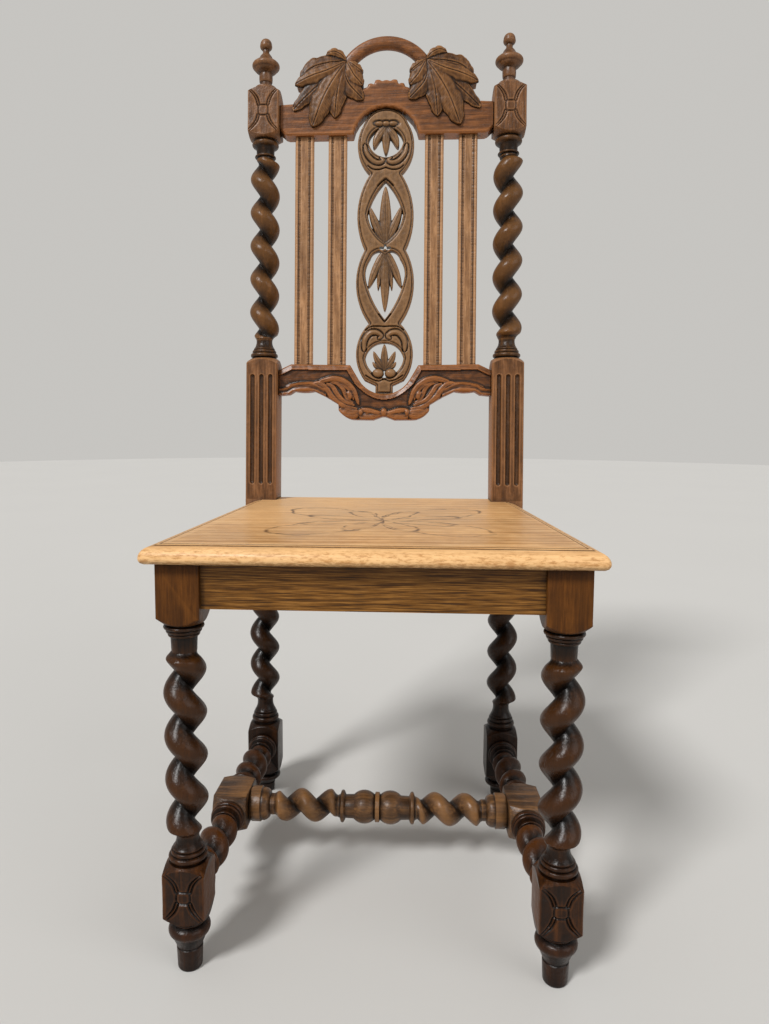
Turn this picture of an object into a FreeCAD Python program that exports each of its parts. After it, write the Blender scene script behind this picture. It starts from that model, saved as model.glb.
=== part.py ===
# A wainscot chair of oak: barley-twist legs and posts, a solid seat and a carved, raked back.
# X runs to the right of someone facing the chair, Y towards its back, Z up; the floor is Z 0.
# Lengths are millimetres and angles are degrees.
import FreeCAD
import Part
import math
import os
import Sketcher

# Every driving size, by its name in the sheet
SIZES = {
    # The chair as a whole
    "seat_height": 467,
    "leg_depth": 380,
    "front_spread": 392,
    "rear_spread": 369,
    "rake_angle": 4.5,
    # Fits between pieces
    "joint_clearance": 0.15,
    "tenon_end_gap": 1,
    "cut_overrun": 5,
    # Seat
    "seat_thickness": 20,
    "seat_front_overhang": 14.5,
    "seat_side_overhang": 13.5,
    "seat_post_setback": 6.25,
    "seat_nose_round": 7,
    "seat_notch_depth": 39,
    # Front legs
    "leg_block": 45,
    "front_foot_height": 58,
    "front_block_height": 64,
    "front_collar_height": 30,
    "front_crest_radius": 22.4,
    "front_valley_radius": 15.4,
    "front_twist_pitch": 47,
    "front_twist_height": 260,
    "leg_head_height": 66,
    # Rear posts below the seat
    "post_block": 46.5,
    "rear_foot_height": 33,
    "rear_block_height": 80,
    "rear_collar_height": 38,
    "rear_crest_radius": 22.6,
    "rear_valley_radius": 15.6,
    "rear_twist_pitch": 49,
    "rear_twist_height": 257,
    # Rear posts above the seat, measured up the rake
    "fluted_height": 213,
    "post_collar_height": 31,
    "post_twist_length": 273,
    "post_cap_collar_height": 29,
    "post_cap_height": 76,
    "post_crest_radius": 22.8,
    "post_valley_radius": 13.6,
    "post_twist_pitch": 50.6,
    "post_twist_height": 413,
    "flute_radius": 3.3,
    "flute_spacing": 13.5,
    "flute_foot": 24,
    "flute_length": 155,
    "flute_point": 10,
    # What all turnings share
    "foot_radius": 22,
    "ring_radius": 22.2,
    "neck_radius": 13.2,
    "shoulder_radius": 20.5,
    "shoulder_drop": 9,
    "twist_runout": 9,
    "spigot_radius": 8,
    "spigot_length": 20,
    # Finials
    "finial_radius": 22.2,
    "finial_height": 80,
    "finial_spigot_radius": 6,
    # Stretchers
    "stretcher_height": 79,
    "stretcher_block": 44,
    "stretcher_block_length": 67,
    "stretcher_setback": 192,
    "stretcher_collar_length": 22,
    "stretcher_crest_radius": 20.5,
    "stretcher_valley_radius": 13.5,
    "stretcher_twist_pitch": 39,
    "cross_collar_length": 31,
    "cross_centre_length": 52,
    "cross_twist_place": 98,
    # Seat rails and what holds the seat
    "rail_height": 48,
    "rail_thickness": 22,
    "rail_recess": 6.5,
    "tenon_thickness": 8,
    "tenon_length": 20,
    "tenon_shoulder": 8,
    "brace_width": 26,
    "brace_height": 25,
    "brace_clearance": 4,
    "screw_radius": 2,
    "screw_head_radius": 4,
    "screw_head_height": 2.5,
    "screw_bite": 12,
    # Back, measured up the rake
    "back_board": 24,
    "crest_bottom": 550,
    "crest_height": 81,
    "crest_arch_width": 99,
    "crest_arch_rise": 42,
    "lower_rail_bottom": 120.5,
    "lower_rail_height": 84,
    "splat_thickness": 15,
    "splat_half_width": 44,
    "splat_fit": 3,
    "palmette_thickness": 9,
    "slat_width": 28,
    "slat_thickness": 11,
    "slat_inner_place": 73.2,
    "slat_outer_place": 123.9,
    "slat_tenon_width": 20,
    "back_tenon_length": 12,
    "back_tenon_thickness": 7,
    # Carved cresting
    "hoop_radius": 68.5,
    "hoop_section_radius": 10.2,
    "hoop_centre_height": 619,
    "hoop_end_angle": 28,
    "leaf_inner_place": 36.3,
    "leaf_width": 102,
    "leaf_bottom": 564,
    "leaf_height": 109,
    "leaf_proud": 8,
    "cresting_depth": 28,
    "cresting_gap": 0.1,
    "dowel_radius": 4,
    "dowel_length": 34,
    "dowel_place": 80,
}

# Turned outlines, upwards: radius, height and swell of the arc that runs on to the next
# corner, the radii and swells as shares of the turning's radius, the heights of its height
FOOT_SHARES = (
    (0.50, 0, 0), (0.57, 0.04, 0), (0.60, 0.26, 0), (0.68, 0.30, 0.30), (0.72, 0.80, 0),
    (0.64, 0.84, 0), (0.76, 0.92, 0), (0.80, 1, 0),
)
COLLAR_SHARES = (
    (0.84, 0, 0), (0.88, 0.03, 0.12), (0.88, 0.40, 0), (0.74, 0.44, 0.07), (0.74, 0.62, 0),
    (0.64, 0.68, 0),
)
FINIAL_SHARES = (
    (0.80, 0, 0), (0.80, 0.05, 0), (0.43, 0.09, 0), (0.43, 0.15, 0), (0.52, 0.17, 0),
    (0.52, 0.33, 0), (0.70, 0.37, 0), (0.88, 0.41, 0), (0.92, 0.43, 0.09), (0.90, 0.53, 0),
    (0.52, 0.66, 0), (0.24, 0.69, 0), (0.22, 0.75, 0.06), (0.43, 0.87, 0.11), (0.06, 1, 0),
)
FINIAL_DISC_SHARE = 0.48
STRETCHER_COLLAR_SHARES = (
    (0.94, 0, 0), (0.94, 0.20, 0), (0.86, 0.24, 0.08), (0.86, 0.44, 0), (0.76, 0.48, 0.07),
    (0.76, 0.64, 0), (0.64, 0.74, 0),
)
CROSS_COLLAR_SHARES = (
    (0.92, 0, 0), (1, 0.10, 0), (1, 0.46, 0), (0.92, 0.50, 0.07), (0.74, 0.82, 0),
)
CROSS_CENTRE_SHARES = (
    (0.84, 0, 0), (0.84, 0.05, 0), (0.72, 0.07, 0), (0.76, 0.10, 0.22), (0.68, 0.60, 0),
    (0.66, 0.80, 0), (0.93, 0.87, 0), (0.93, 0.91, 0), (0.66, 0.96, 0),
)
NECK_START_SHARE = 0.86

# Right halves of the back's outlines, from the middle of the bottom round to the middle of
# the top: across as shares of the half length, up and swell as shares of the height
CREST_SHARES = (
    (0.92, 0, 0), (0.95, 0.02, 0), (1, 0.11, 0), (1, 0.57, 0), (0.82, 0.59, 0), (0.50, 0.72, 0),
    (0.23, 0.84, 0), (0.11, 0.92, 0), (0.105, 1, 0), (0.045, 0.98, 0),
)
LOWER_RAIL_SHARES = (
    (0.015, 0.06, 0), (0.10, 0, 0), (0.29, 0.005, 0.03), (0.425, 0.165, 0), (0.43, 0.28, 0), (0.56, 0.43, 0),
    (0.66, 0.52, 0.02), (0.85, 0.52, 0), (0.90, 0.46, 0), (1, 0.44, 0), (1, 0.89, 0), (0.88, 1, 0),
    (0.32, 0.985, 0), (0.235, 0.71, -0.25),
)
CREST_TENON_SHARES = (0.16, 0.50)
LOWER_TENON_SHARES = (0.54, 0.84)

# The splat's right edge and its four openings: across and swell as shares of its half
# width, up as shares of its height between the rails
SPLAT_EDGE_SHARES = (
    (0.30, 0, 0), (0.30, 0.032, 0), (0.68, 0.050, 0.37), (0.55, 0.250, 0.37), (0.71, 0.508, 0.34),
    (0.55, 0.772, 0.30), (0.78, 0.945, 0.54),
)
SPLAT_OPENING_SHARES = (
    ((0, 0.060, 0.16), (0.66, 0.128, 0.16), (0, 0.182, 0)),
    ((0, 0.265, 0.09), (0.66, 0.405, 0.13), (0, 0.503, 0)),
    ((0, 0.532, 0.13), (0.61, 0.632, 0.09), (0, 0.748, 0)),
    ((0, 0.832, 0.14), (0.60, 0.885, 0.14), (0, 0.935, 0)),
)
# Leaves in the openings: how high on the splat each has its foot and its tip, then the
# right edge that they share, across as shares of the leaf's half width
PALMETTE_PLACE_SHARES = ((0.055, 0.168), (0.508, 0.282), (0.527, 0.728), (0.940, 0.840))
PALMETTE_EDGE_SHARES = ((0.30, 0), (0.36, 0.14), (0.96, 0.50), (0.40, 0.44), (0.34, 0.72), (0, 1))
PALMETTE_WIDTH_SHARE = 0.52
# The right vine leaf, from its stalk round by the outer lobes and back: across and up
LEAF_SHARES = (
    (0.20, 0.90), (0.37, 0.995), (0.51, 0.955), (0.46, 0.90), (0.63, 0.885), (0.84, 0.81), (0.96, 0.575),
    (0.83, 0.51), (1, 0.23), (0.82, 0.275), (0.72, 0), (0.52, 0.19), (0.50, 0.275), (0.395, 0.135),
    (0.295, 0.30), (0.27, 0.41), (0, 0.36), (0.03, 0.59), (0.005, 0.71), (0.11, 0.85),
)

# Axes of turning, and where they take an object's own Z
X_AXIS = FreeCAD.Vector(1, 0, 0)
Y_AXIS = FreeCAD.Vector(0, 1, 0)
Z_AXIS = FreeCAD.Vector(0, 0, 1)
HALF_TURN = 180
TO_FRONT = (X_AXIS, 90)
TO_BACK = (X_AXIS, -90)
TO_RIGHT = (Y_AXIS, 90)
TO_LEFT = (Y_AXIS, -90)
DOWN = (X_AXIS, HALF_TURN)
UP = (X_AXIS, 0)


class Size:
    """A number together with the sheet's expression that gives it."""

    def __init__(self, value, text):
        self.value = value
        self.text = text

    def __add__(self, other):
        return Size(self.value + number(other), f"({self.text} + {expression(other)})")

    def __sub__(self, other):
        return Size(self.value - number(other), f"({self.text} - {expression(other)})")

    def __rsub__(self, other):
        return Size(number(other) - self.value, f"({expression(other)} - {self.text})")

    def __mul__(self, other):
        return Size(self.value * number(other), f"({self.text} * {expression(other)})")

    def __truediv__(self, other):
        return Size(self.value / number(other), f"({self.text} / {expression(other)})")

    def __neg__(self):
        return self * -1

    __radd__ = __add__
    __rmul__ = __mul__


def number(size):
    return size.value if isinstance(size, Size) else size


def expression(size):
    return size.text if isinstance(size, Size) else repr(size)


def sine(angle):
    return Size(math.sin(math.radians(angle.value)), f"sin({angle.text})")


def cosine(angle):
    return Size(math.cos(math.radians(angle.value)), f"cos({angle.text})")


def tangent(angle):
    return Size(math.tan(math.radians(angle.value)), f"tan({angle.text})")


def arctangent(ratio):
    return Size(math.degrees(math.atan(ratio.value)), f"atan({ratio.text})")


def fill_sheet(sheet):
    """Write the driving sizes into the sheet and return them as Size values."""
    for row, (name, value) in enumerate(SIZES.items(), start=1):
        sheet.set(f"A{row}", name)
        sheet.set(f"B{row}", str(value))
        sheet.setAlias(f"B{row}", name)
    sheet.recompute()
    return {name: Size(sheet.get(name), f"{sheet.Name}.{name}") for name in SIZES}


doc = FreeCAD.newDocument("wainscot_chair")
size = fill_sheet(doc.addObject("Spreadsheet::Sheet", "Sizes"))
ROOT_TWO = math.sqrt(2)

# Where the legs and posts stand
half_leg = size["leg_block"] / 2
half_post = size["post_block"] / 2
rake_sine = sine(size["rake_angle"])
rake_cosine = cosine(size["rake_angle"])
cap_bottom = (size["fluted_height"] + size["post_collar_height"] + size["post_twist_length"]
              + size["post_cap_collar_height"])
cap_top = cap_bottom + size["post_cap_height"]
finial_disc_height = cap_top + size["finial_height"] * FINIAL_DISC_SHARE
front_reach = half_leg + size["seat_front_overhang"]
rear_reach = rake_sine * finial_disc_height + rake_cosine * size["finial_radius"]
front_axis = (front_reach - size["leg_depth"] - rear_reach) / 2
rear_axis = front_axis + size["leg_depth"]
leg_side = size["front_spread"] / 2
post_side = size["rear_spread"] / 2
leg_inner = leg_side - half_leg
post_inner = post_side - half_post
leg_back_face = front_axis + half_leg
post_front_face = rear_axis - half_post

# Where the seat's rails and all tenons lie
seat_under = size["seat_height"] - size["seat_thickness"]
rail_under = seat_under - size["rail_height"]
tenon_up = (rail_under + size["tenon_shoulder"], seat_under - size["tenon_shoulder"])
half_tenon = size["tenon_thickness"] / 2
half_rail = size["rail_thickness"] / 2
mortise_reach = size["tenon_length"] + size["tenon_end_gap"]
front_rail_middle = front_axis - half_leg + size["rail_recess"] + half_rail
rear_rail_middle = rear_axis + half_post - size["rail_recess"] - half_rail
side_rail_front = leg_side + half_leg - size["rail_recess"] - half_rail
side_rail_rear = post_side + half_post - size["rail_recess"] - half_rail
side_run = post_front_face - leg_back_face
rail_splay = (side_rail_front - side_rail_rear) / side_run
half_back_tenon = size["back_tenon_thickness"] / 2
back_tenon = (-half_back_tenon, half_back_tenon)
crest_tenon_up = tuple(size["crest_bottom"] + size["crest_height"] * share for share in CREST_TENON_SHARES)
lower_tenon_up = tuple(size["lower_rail_bottom"] + size["lower_rail_height"] * share
                       for share in LOWER_TENON_SHARES)
back_mortise_depth = size["back_tenon_length"] + size["tenon_end_gap"]
lower_rail_top = size["lower_rail_bottom"] + size["lower_rail_height"]
arch_top = size["crest_bottom"] + size["crest_arch_rise"]
dip_share = LOWER_RAIL_SHARES[-1][1] + LOWER_RAIL_SHARES[-1][2]
dip_bottom = size["lower_rail_bottom"] + size["lower_rail_height"] * dip_share

# Where the stretchers lie
stretcher_turn = arctangent((leg_side - post_side) / side_run)
block_middle = (size["stretcher_setback"] - half_leg) / cosine(stretcher_turn)
cross_end = leg_side - block_middle * sine(stretcher_turn) - size["stretcher_block"] / 2


def bind(item, **sizes):
    """Bind properties of an object to the sheet."""
    for name, value in sizes.items():
        item.setExpression(name, expression(value))


def place(item, across=0, back=0, up=0, turn=(Z_AXIS, 0)):
    """Put an object at a bound place, turned about an axis by an angle that may be bound."""
    axis, angle = turn
    item.Placement = FreeCAD.Placement(FreeCAD.Vector(number(across), number(back), number(up)),
                                       FreeCAD.Rotation(axis, number(angle)))
    for name, value in (("x", across), ("y", back), ("z", up)):
        item.setExpression(f"Placement.Base.{name}", expression(value))
    if isinstance(angle, Size):
        item.setExpression("Placement.Rotation.Angle", angle.text)
    return item


def rake(item):
    """Lean a piece of the back, modelled upright on the seat's height, by the rake."""
    return place(item, back=rear_axis, up=size["seat_height"], turn=(X_AXIS, -size["rake_angle"]))


def rake_on_post(item):
    """The same in a post's own frame, whose axis is X 0, Y 0."""
    return place(item, up=size["seat_height"], turn=(X_AXIS, -size["rake_angle"]))


def box(name, across, back, up):
    """A box between two bound places along each axis."""
    item = doc.addObject("Part::Box", name)
    bind(item, Length=across[1] - across[0], Width=back[1] - back[0], Height=up[1] - up[0])
    return place(item, across[0], back[0], up[0])


def evenly(half):
    return (-half, half)


def rod(name, radius, length, **where):
    item = doc.addObject("Part::Cylinder", name)
    bind(item, Radius=radius, Height=length)
    return place(item, **where)


def group(name, *items):
    item = doc.addObject("Part::Compound", name)
    item.Links = list(items)
    return item


def fuse(name, *items):
    item = doc.addObject("Part::MultiFuse", name)
    item.Shapes = list(items)
    return item


def common(name, first, second):
    item = doc.addObject("Part::Common", name)
    item.Base = first
    item.Tool = second
    return item


def cut(name, base, *tools):
    item = doc.addObject("Part::Cut", name)
    item.Base = base
    item.Tool = tools[0] if len(tools) == 1 else fuse(f"{name}_cutters", *tools)
    return item


def mirrored(name, source):
    """The same piece on the chair's other side."""
    item = doc.addObject("Part::Mirroring", name)
    item.Source = source
    item.Normal = X_AXIS
    return item


def arc_between(start, end, swell):
    """An anticlockwise arc that swells to the right of the way from start to end."""
    chord = end.sub(start)
    radius = (chord.Length ** 2 / 4 + swell ** 2) / (2 * swell)
    outward = FreeCAD.Vector(chord.y, -chord.x, 0).normalize()
    centre = (start + end) / 2 + outward * (swell - radius)
    first, last = (start, end) if swell > 0 else (end, start)
    circle = Part.Circle(centre, Z_AXIS, abs(radius))
    return Part.ArcOfCircle(circle, math.atan2(first.y - centre.y, first.x - centre.x),
                            math.atan2(last.y - centre.y, last.x - centre.x))


def draw_loop(sketch, corners):
    """Draw an anticlockwise loop of bound corners: across, up and swell of the arc that follows."""
    first = sketch.GeometryCount
    count = len(corners)
    points = [FreeCAD.Vector(number(across), number(up), 0) for across, up, swell in corners]
    swells = [number(swell) for across, up, swell in corners]
    for index, swell in enumerate(swells):
        ends = (points[index], points[(index + 1) % count])
        sketch.addGeometry(arc_between(*ends, swell) if swell else Part.LineSegment(*ends), False)
    # An arc that swells inwards was drawn backwards, which swaps its start and its end
    starts = [2 if swell < 0 else 1 for swell in swells]
    for index, (across, up, swell) in enumerate(corners):
        following = (index + 1) % count
        sketch.addConstraint(Sketcher.Constraint("Coincident", first + index, 3 - starts[index],
                                                 first + following, starts[following]))
        for kind, value in (("DistanceX", across), ("DistanceY", up)):
            bind_constraint(sketch, value, kind, -1, 1, first + index, starts[index])
        if number(swell):
            bind_constraint(sketch, arc_radius(corners[index], corners[following]), "Radius", first + index)


def arc_radius(start, end):
    """The radius of the arc that leaves a corner, from its chord and its swell."""
    swell = start[2] if number(start[2]) > 0 else -start[2]
    run = end[0] - start[0]
    rise = end[1] - start[1]
    return ((run * run + rise * rise) / 4 + swell * swell) / 2 / swell


def bind_constraint(sketch, value, kind, *what):
    """Add a dimension to a sketch and bind it to the sheet."""
    index = sketch.addConstraint(Sketcher.Constraint(kind, *what, float(number(value))))
    sketch.setExpression(f"Constraints[{index}]", expression(value))


def sketched_body(name, role, *loops):
    """A body with a sketch of closed loops on the origin plane of that role."""
    body = doc.addObject("PartDesign::Body", name)
    sketch = body.newObject("Sketcher::SketchObject", f"{name}_sketch")
    plane = [feature for feature in body.Origin.OriginFeatures if feature.Role == role][0]
    sketch.AttachmentSupport = [(plane, "")]
    sketch.MapMode = "FlatFace"
    for loop in loops:
        draw_loop(sketch, loop)
    return body, sketch


def padded(name, role, thickness, *loops, offset=0):
    """A board: loops padded evenly to both sides of a plane that lies offset along its normal."""
    body, sketch = sketched_body(name, role, *loops)
    sketch.setExpression("AttachmentOffset.Base.z", expression(offset))
    pad = body.newObject("PartDesign::Pad", f"{name}_pad")
    pad.Profile = sketch
    pad.SideType = "Symmetric"
    bind(pad, Length=thickness)
    return body


def lathed(name, corners):
    """A turning about Z from the corners of its outline, upwards."""
    loop = [(0, corners[0][1], 0)] + corners + [(0, corners[-1][1], 0)]
    body, sketch = sketched_body(name, "XZ_Plane", loop)
    revolution = body.newObject("PartDesign::Revolution", f"{name}_revolution")
    revolution.Profile = sketch
    revolution.ReferenceAxis = (sketch, ["V_Axis"])
    return body


def turned(name, radius, height, shares, foot=0, neck=None, lead=0):
    """A turning given in shares, with a lead below its foot and a plain neck above where they are named."""
    corners = [(radius * across, foot + height * up, radius * swell) for across, up, swell in shares]
    if number(lead):
        corners.insert(0, (corners[0][0], foot - lead, 0))
    if neck is not None:
        corners += [(neck, foot + height * NECK_START_SHARE, 0), (neck, foot + height, 0)]
    return lathed(name, corners)


def upside_down(name, radius, height, shares, foot, neck):
    """The same turning hanging from its top, with its neck at its foot."""
    top = foot + height
    swells = [swell for across, up, swell in shares]
    corners = [(neck, foot, 0), (neck, top - height * NECK_START_SHARE, 0)]
    for index in reversed(range(len(shares))):
        across, up, swell = shares[index]
        corners.append((radius * across, top - height * up, radius * (swells[index - 1] if index else 0)))
    return lathed(name, corners)


def both_sides(right, bottom_swell=0):
    """A loop from the corners of its right half; bottom_swell is the arc across its bottom."""
    swells = [bottom_swell] + [swell for across, up, swell in right[:-1]]
    left = [(-across, up, swell) for (across, up, unused), swell in zip(right[::-1], swells[::-1])]
    if not number(right[-1][0]):
        right = right[:-1]
    if not number(left[-1][0]):
        left = left[:-1]
    return right + left


def shouldered_block(name, width, foot, height, upper=True):
    """A square block with its lower end, and its upper one where wanted, turned off at the corners."""
    half = width / 2
    narrow = size["shoulder_radius"]
    corner = half * ROOT_TWO
    wide = corner + size["cut_overrun"]
    fall = size["shoulder_drop"] * (wide - narrow) / (corner - narrow)
    top = foot + height
    corners = [(narrow, foot, 0), (wide, foot + fall, 0)]
    corners += [(wide, top - fall, 0), (narrow, top, 0)] if upper else [(wide, top, 0)]
    blank = box(f"{name}_blank", evenly(half), evenly(half), (foot, top))
    return common(name, blank, lathed(f"{name}_lathe", corners))


def twist(name, radii, pitch, foot, length, crest_place, turn=0):
    """A strand that winds once round the axis in each pitch and runs out into a neck at both ends.

    Its crest is furthest along X at crest_place, and turn rotates it from there."""
    crest, valley = radii
    offset = (crest - valley) / 2
    helix = Part.Wire(Part.makeHelix(pitch.value, length.value, offset.value).Edges)
    sweep = Part.BRepOffsetAPI.MakePipeShell(helix)
    sweep.setTrihedronMode(FreeCAD.Vector(0, 0, 0), Z_AXIS)
    circle = Part.makeCircle(((crest + valley) / 2).value, FreeCAD.Vector(offset.value, 0, 0))
    sweep.add(Part.Wire([circle]), False, False)
    sweep.build()
    sweep.makeSolid()
    strand = doc.addObject("Part::Feature", f"{name}_strand")
    strand.Shape = sweep.shape()
    start = math.degrees(math.tau) * (foot - crest_place).value / pitch.value + turn
    strand.Placement = FreeCAD.Placement(FreeCAD.Vector(0, 0, foot.value), FreeCAD.Rotation(Z_AXIS, start))
    neck = size["neck_radius"]
    wide = crest + size["cut_overrun"]
    rise = size["twist_runout"] * (wide - neck) / (crest - neck)
    top = foot + length
    envelope = lathed(f"{name}_envelope", [(neck, foot, 0), (wide, foot + rise, 0), (wide, top - rise, 0),
                                           (neck, top, 0)])
    return common(name, strand, envelope)


def mortise(name, across, back, up):
    """A tenon's box with the joint's clearance on every side."""
    gap = size["joint_clearance"]
    return box(name, *((low - gap, high + gap) for low, high in (across, back, up)))


def drilled(name, radius, depth, turn, across=0, back=0, up=0):
    """A drill that starts outside a face and reaches depth below it; the face is at the given place."""
    lead = size["cut_overrun"]
    away = FreeCAD.Rotation(*turn).multVec(-Z_AXIS)
    start = [middle + lead * round(step) for middle, step in zip((across, back, up), away)]
    return rod(name, radius + size["joint_clearance"], depth + lead, across=start[0], back=start[1],
               up=start[2], turn=turn)


def spigot_hole(name, turn, radius=size["spigot_radius"], **face):
    depth = size["spigot_length"] + size["tenon_end_gap"]
    return drilled(name, radius, depth, turn, **face)


def front_leg(name):
    """A right front leg from the floor to the seat."""
    ring = size["ring_radius"]
    neck = size["neck_radius"]
    block_foot = size["front_foot_height"]
    collar_foot = block_foot + size["front_block_height"]
    twist_foot = collar_foot + size["front_collar_height"]
    head_foot = seat_under - size["leg_head_height"]
    twist_top = head_foot - size["front_collar_height"]
    solid = fuse(
        f"{name}_solid",
        turned(f"{name}_foot", size["foot_radius"], block_foot, FOOT_SHARES),
        shouldered_block(f"{name}_block", size["leg_block"], block_foot, size["front_block_height"]),
        turned(f"{name}_collar", ring, size["front_collar_height"], COLLAR_SHARES, collar_foot, neck),
        twist(f"{name}_twist", (size["front_crest_radius"], size["front_valley_radius"]),
              size["front_twist_pitch"], twist_foot, twist_top - twist_foot, size["front_twist_height"]),
        upside_down(f"{name}_head_collar", ring, size["front_collar_height"], COLLAR_SHARES, twist_top, neck),
        shouldered_block(f"{name}_head", size["leg_block"], head_foot, size["leg_head_height"], upper=False),
    )
    rail_middle = front_rail_middle - front_axis
    side_middle = side_rail_front - leg_side
    outside = half_leg + size["cut_overrun"]
    leg = cut(
        name, solid,
        mortise(f"{name}_front_mortise", (-outside, mortise_reach - half_leg),
                (rail_middle - half_tenon, rail_middle + half_tenon), tenon_up),
        mortise(f"{name}_side_mortise", (side_middle - half_tenon, side_middle + half_tenon),
                (half_leg - mortise_reach, outside), tenon_up),
        spigot_hole(f"{name}_stretcher_hole", TO_FRONT, back=half_leg, up=size["stretcher_height"]),
    )
    return place(leg, leg_side, front_axis)


def post_stock(name, foot):
    """The post's square length, bent at the seat's top, up to the end of its fluted part."""
    half = half_post
    bend = half * tangent(size["rake_angle"] / 2)
    seat = size["seat_height"]
    lean = size["fluted_height"] * rake_sine
    rise = seat + size["fluted_height"] * rake_cosine
    loop = [
        (-half, foot, 0), (half, foot, 0), (half, seat - bend, 0),
        (lean + half * rake_cosine, rise - half * rake_sine, 0),
        (lean - half * rake_cosine, rise + half * rake_sine, 0),
        (-half, seat + bend, 0),
    ]
    return padded(name, "YZ_Plane", size["post_block"], loop)


def flutes(name):
    """Three flutes in the front face of a post's square length, round below and pointed above."""
    radius = size["flute_radius"]
    foot = size["flute_foot"]
    top = foot + size["flute_length"]
    cutters = []
    for index, step in enumerate((-1, 0, 1)):
        across = size["flute_spacing"] * step
        ball = doc.addObject("Part::Sphere", f"{name}_ball_{index}")
        bind(ball, Radius=radius)
        point = doc.addObject("Part::Cone", f"{name}_point_{index}")
        bind(point, Radius1=radius, Height=size["flute_point"])
        point.Radius2 = 0
        cutters += [
            place(ball, across, -half_post, foot), place(point, across, -half_post, top),
            rod(f"{name}_run_{index}", radius, size["flute_length"], across=across, back=-half_post, up=foot),
        ]
    return cutters


def rear_post(name, upper_turn):
    """A right rear post from the floor to its cap; upper_turn rotates the twist above the seat."""
    ring = size["ring_radius"]
    neck = size["neck_radius"]
    block_foot = size["rear_foot_height"]
    collar_foot = block_foot + size["rear_block_height"]
    twist_foot = collar_foot + size["rear_collar_height"]
    stock_foot = seat_under - size["leg_head_height"]
    twist_top = stock_foot - size["front_collar_height"]
    post_twist_foot = size["fluted_height"] + size["post_collar_height"]
    post_twist_top = post_twist_foot + size["post_twist_length"]
    upper = fuse(
        f"{name}_upper",
        turned(f"{name}_post_collar", ring, size["post_collar_height"], COLLAR_SHARES, size["fluted_height"],
               neck),
        twist(f"{name}_post_twist", (size["post_crest_radius"], size["post_valley_radius"]),
              size["post_twist_pitch"], post_twist_foot, size["post_twist_length"], size["post_twist_height"],
              upper_turn),
        upside_down(f"{name}_cap_collar", ring, size["post_cap_collar_height"], COLLAR_SHARES, post_twist_top,
                    neck),
        shouldered_block(f"{name}_cap", size["post_block"], cap_bottom, size["post_cap_height"]),
    )
    solid = fuse(
        f"{name}_solid",
        turned(f"{name}_foot", size["foot_radius"], block_foot, FOOT_SHARES),
        shouldered_block(f"{name}_block", size["post_block"], block_foot, size["rear_block_height"]),
        turned(f"{name}_collar", ring, size["rear_collar_height"], COLLAR_SHARES, collar_foot, neck),
        twist(f"{name}_twist", (size["rear_crest_radius"], size["rear_valley_radius"]),
              size["rear_twist_pitch"], twist_foot, twist_top - twist_foot, size["rear_twist_height"]),
        upside_down(f"{name}_stock_collar", ring, size["front_collar_height"], COLLAR_SHARES, twist_top,
                    neck),
        post_stock(f"{name}_stock", stock_foot),
        rake_on_post(upper),
    )
    rail_middle = rear_rail_middle - rear_axis
    side_middle = side_rail_rear - post_side
    from_inside = (-half_post - size["cut_overrun"], mortise_reach - half_post)
    back_cutters = fuse(
        f"{name}_back_cutters",
        mortise(f"{name}_crest_mortise", from_inside, back_tenon, crest_tenon_up),
        mortise(f"{name}_lower_mortise", from_inside, back_tenon, lower_tenon_up),
        spigot_hole(f"{name}_finial_hole", DOWN, size["finial_spigot_radius"], up=cap_top),
        *flutes(f"{name}_flute"),
    )
    post = cut(
        name, solid,
        mortise(f"{name}_rear_mortise", from_inside, (rail_middle - half_tenon, rail_middle + half_tenon),
                tenon_up),
        mortise(f"{name}_side_mortise", (side_middle - half_tenon, side_middle + half_tenon), from_inside,
                tenon_up),
        spigot_hole(f"{name}_stretcher_hole", TO_BACK, back=-half_post, up=size["stretcher_height"]),
        rake_on_post(back_cutters),
    )
    return place(post, post_side, rear_axis)


def finial(name):
    """A right finial, with the spigot that holds it in its post."""
    knob = turned(f"{name}_knob", size["finial_radius"], size["finial_height"], FINIAL_SHARES, cap_top)
    spigot = rod(f"{name}_spigot", size["finial_spigot_radius"], size["spigot_length"] + size["cut_overrun"],
                 up=cap_top - size["spigot_length"])
    upright = fuse(f"{name}_upright", knob, spigot)
    return place(group(name, rake_on_post(upright)), post_side, rear_axis)


def straight_rail(name, half_length, middle):
    """A rail that runs across the chair, with a tenon at each end."""
    board = box(f"{name}_board", evenly(half_length), (middle - half_rail, middle + half_rail),
                (rail_under, seat_under))
    tenons = box(f"{name}_tenons", evenly(half_length + size["tenon_length"]),
                 (middle - half_tenon, middle + half_tenon), tenon_up)
    return fuse(name, board, tenons)


def side_rail(name):
    """A right side rail, which closes in towards the back."""
    loop = [
        (side_rail_front - half_rail, leg_back_face, 0), (side_rail_front + half_rail, leg_back_face, 0),
        (side_rail_rear + half_rail, post_front_face, 0), (side_rail_rear - half_rail, post_front_face, 0),
    ]
    board = padded(f"{name}_board", "XY_Plane", size["rail_height"], loop,
                   offset=rail_under + size["rail_height"] / 2)
    lap = size["cut_overrun"]
    front = box(f"{name}_front_tenon", (side_rail_front - half_tenon, side_rail_front + half_tenon),
                (leg_back_face - size["tenon_length"], leg_back_face + lap), tenon_up)
    rear = box(f"{name}_rear_tenon", (side_rail_rear - half_tenon, side_rail_rear + half_tenon),
               (post_front_face - lap, post_front_face + size["tenon_length"]), tenon_up)
    return fuse(name, board, front, rear)


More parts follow.
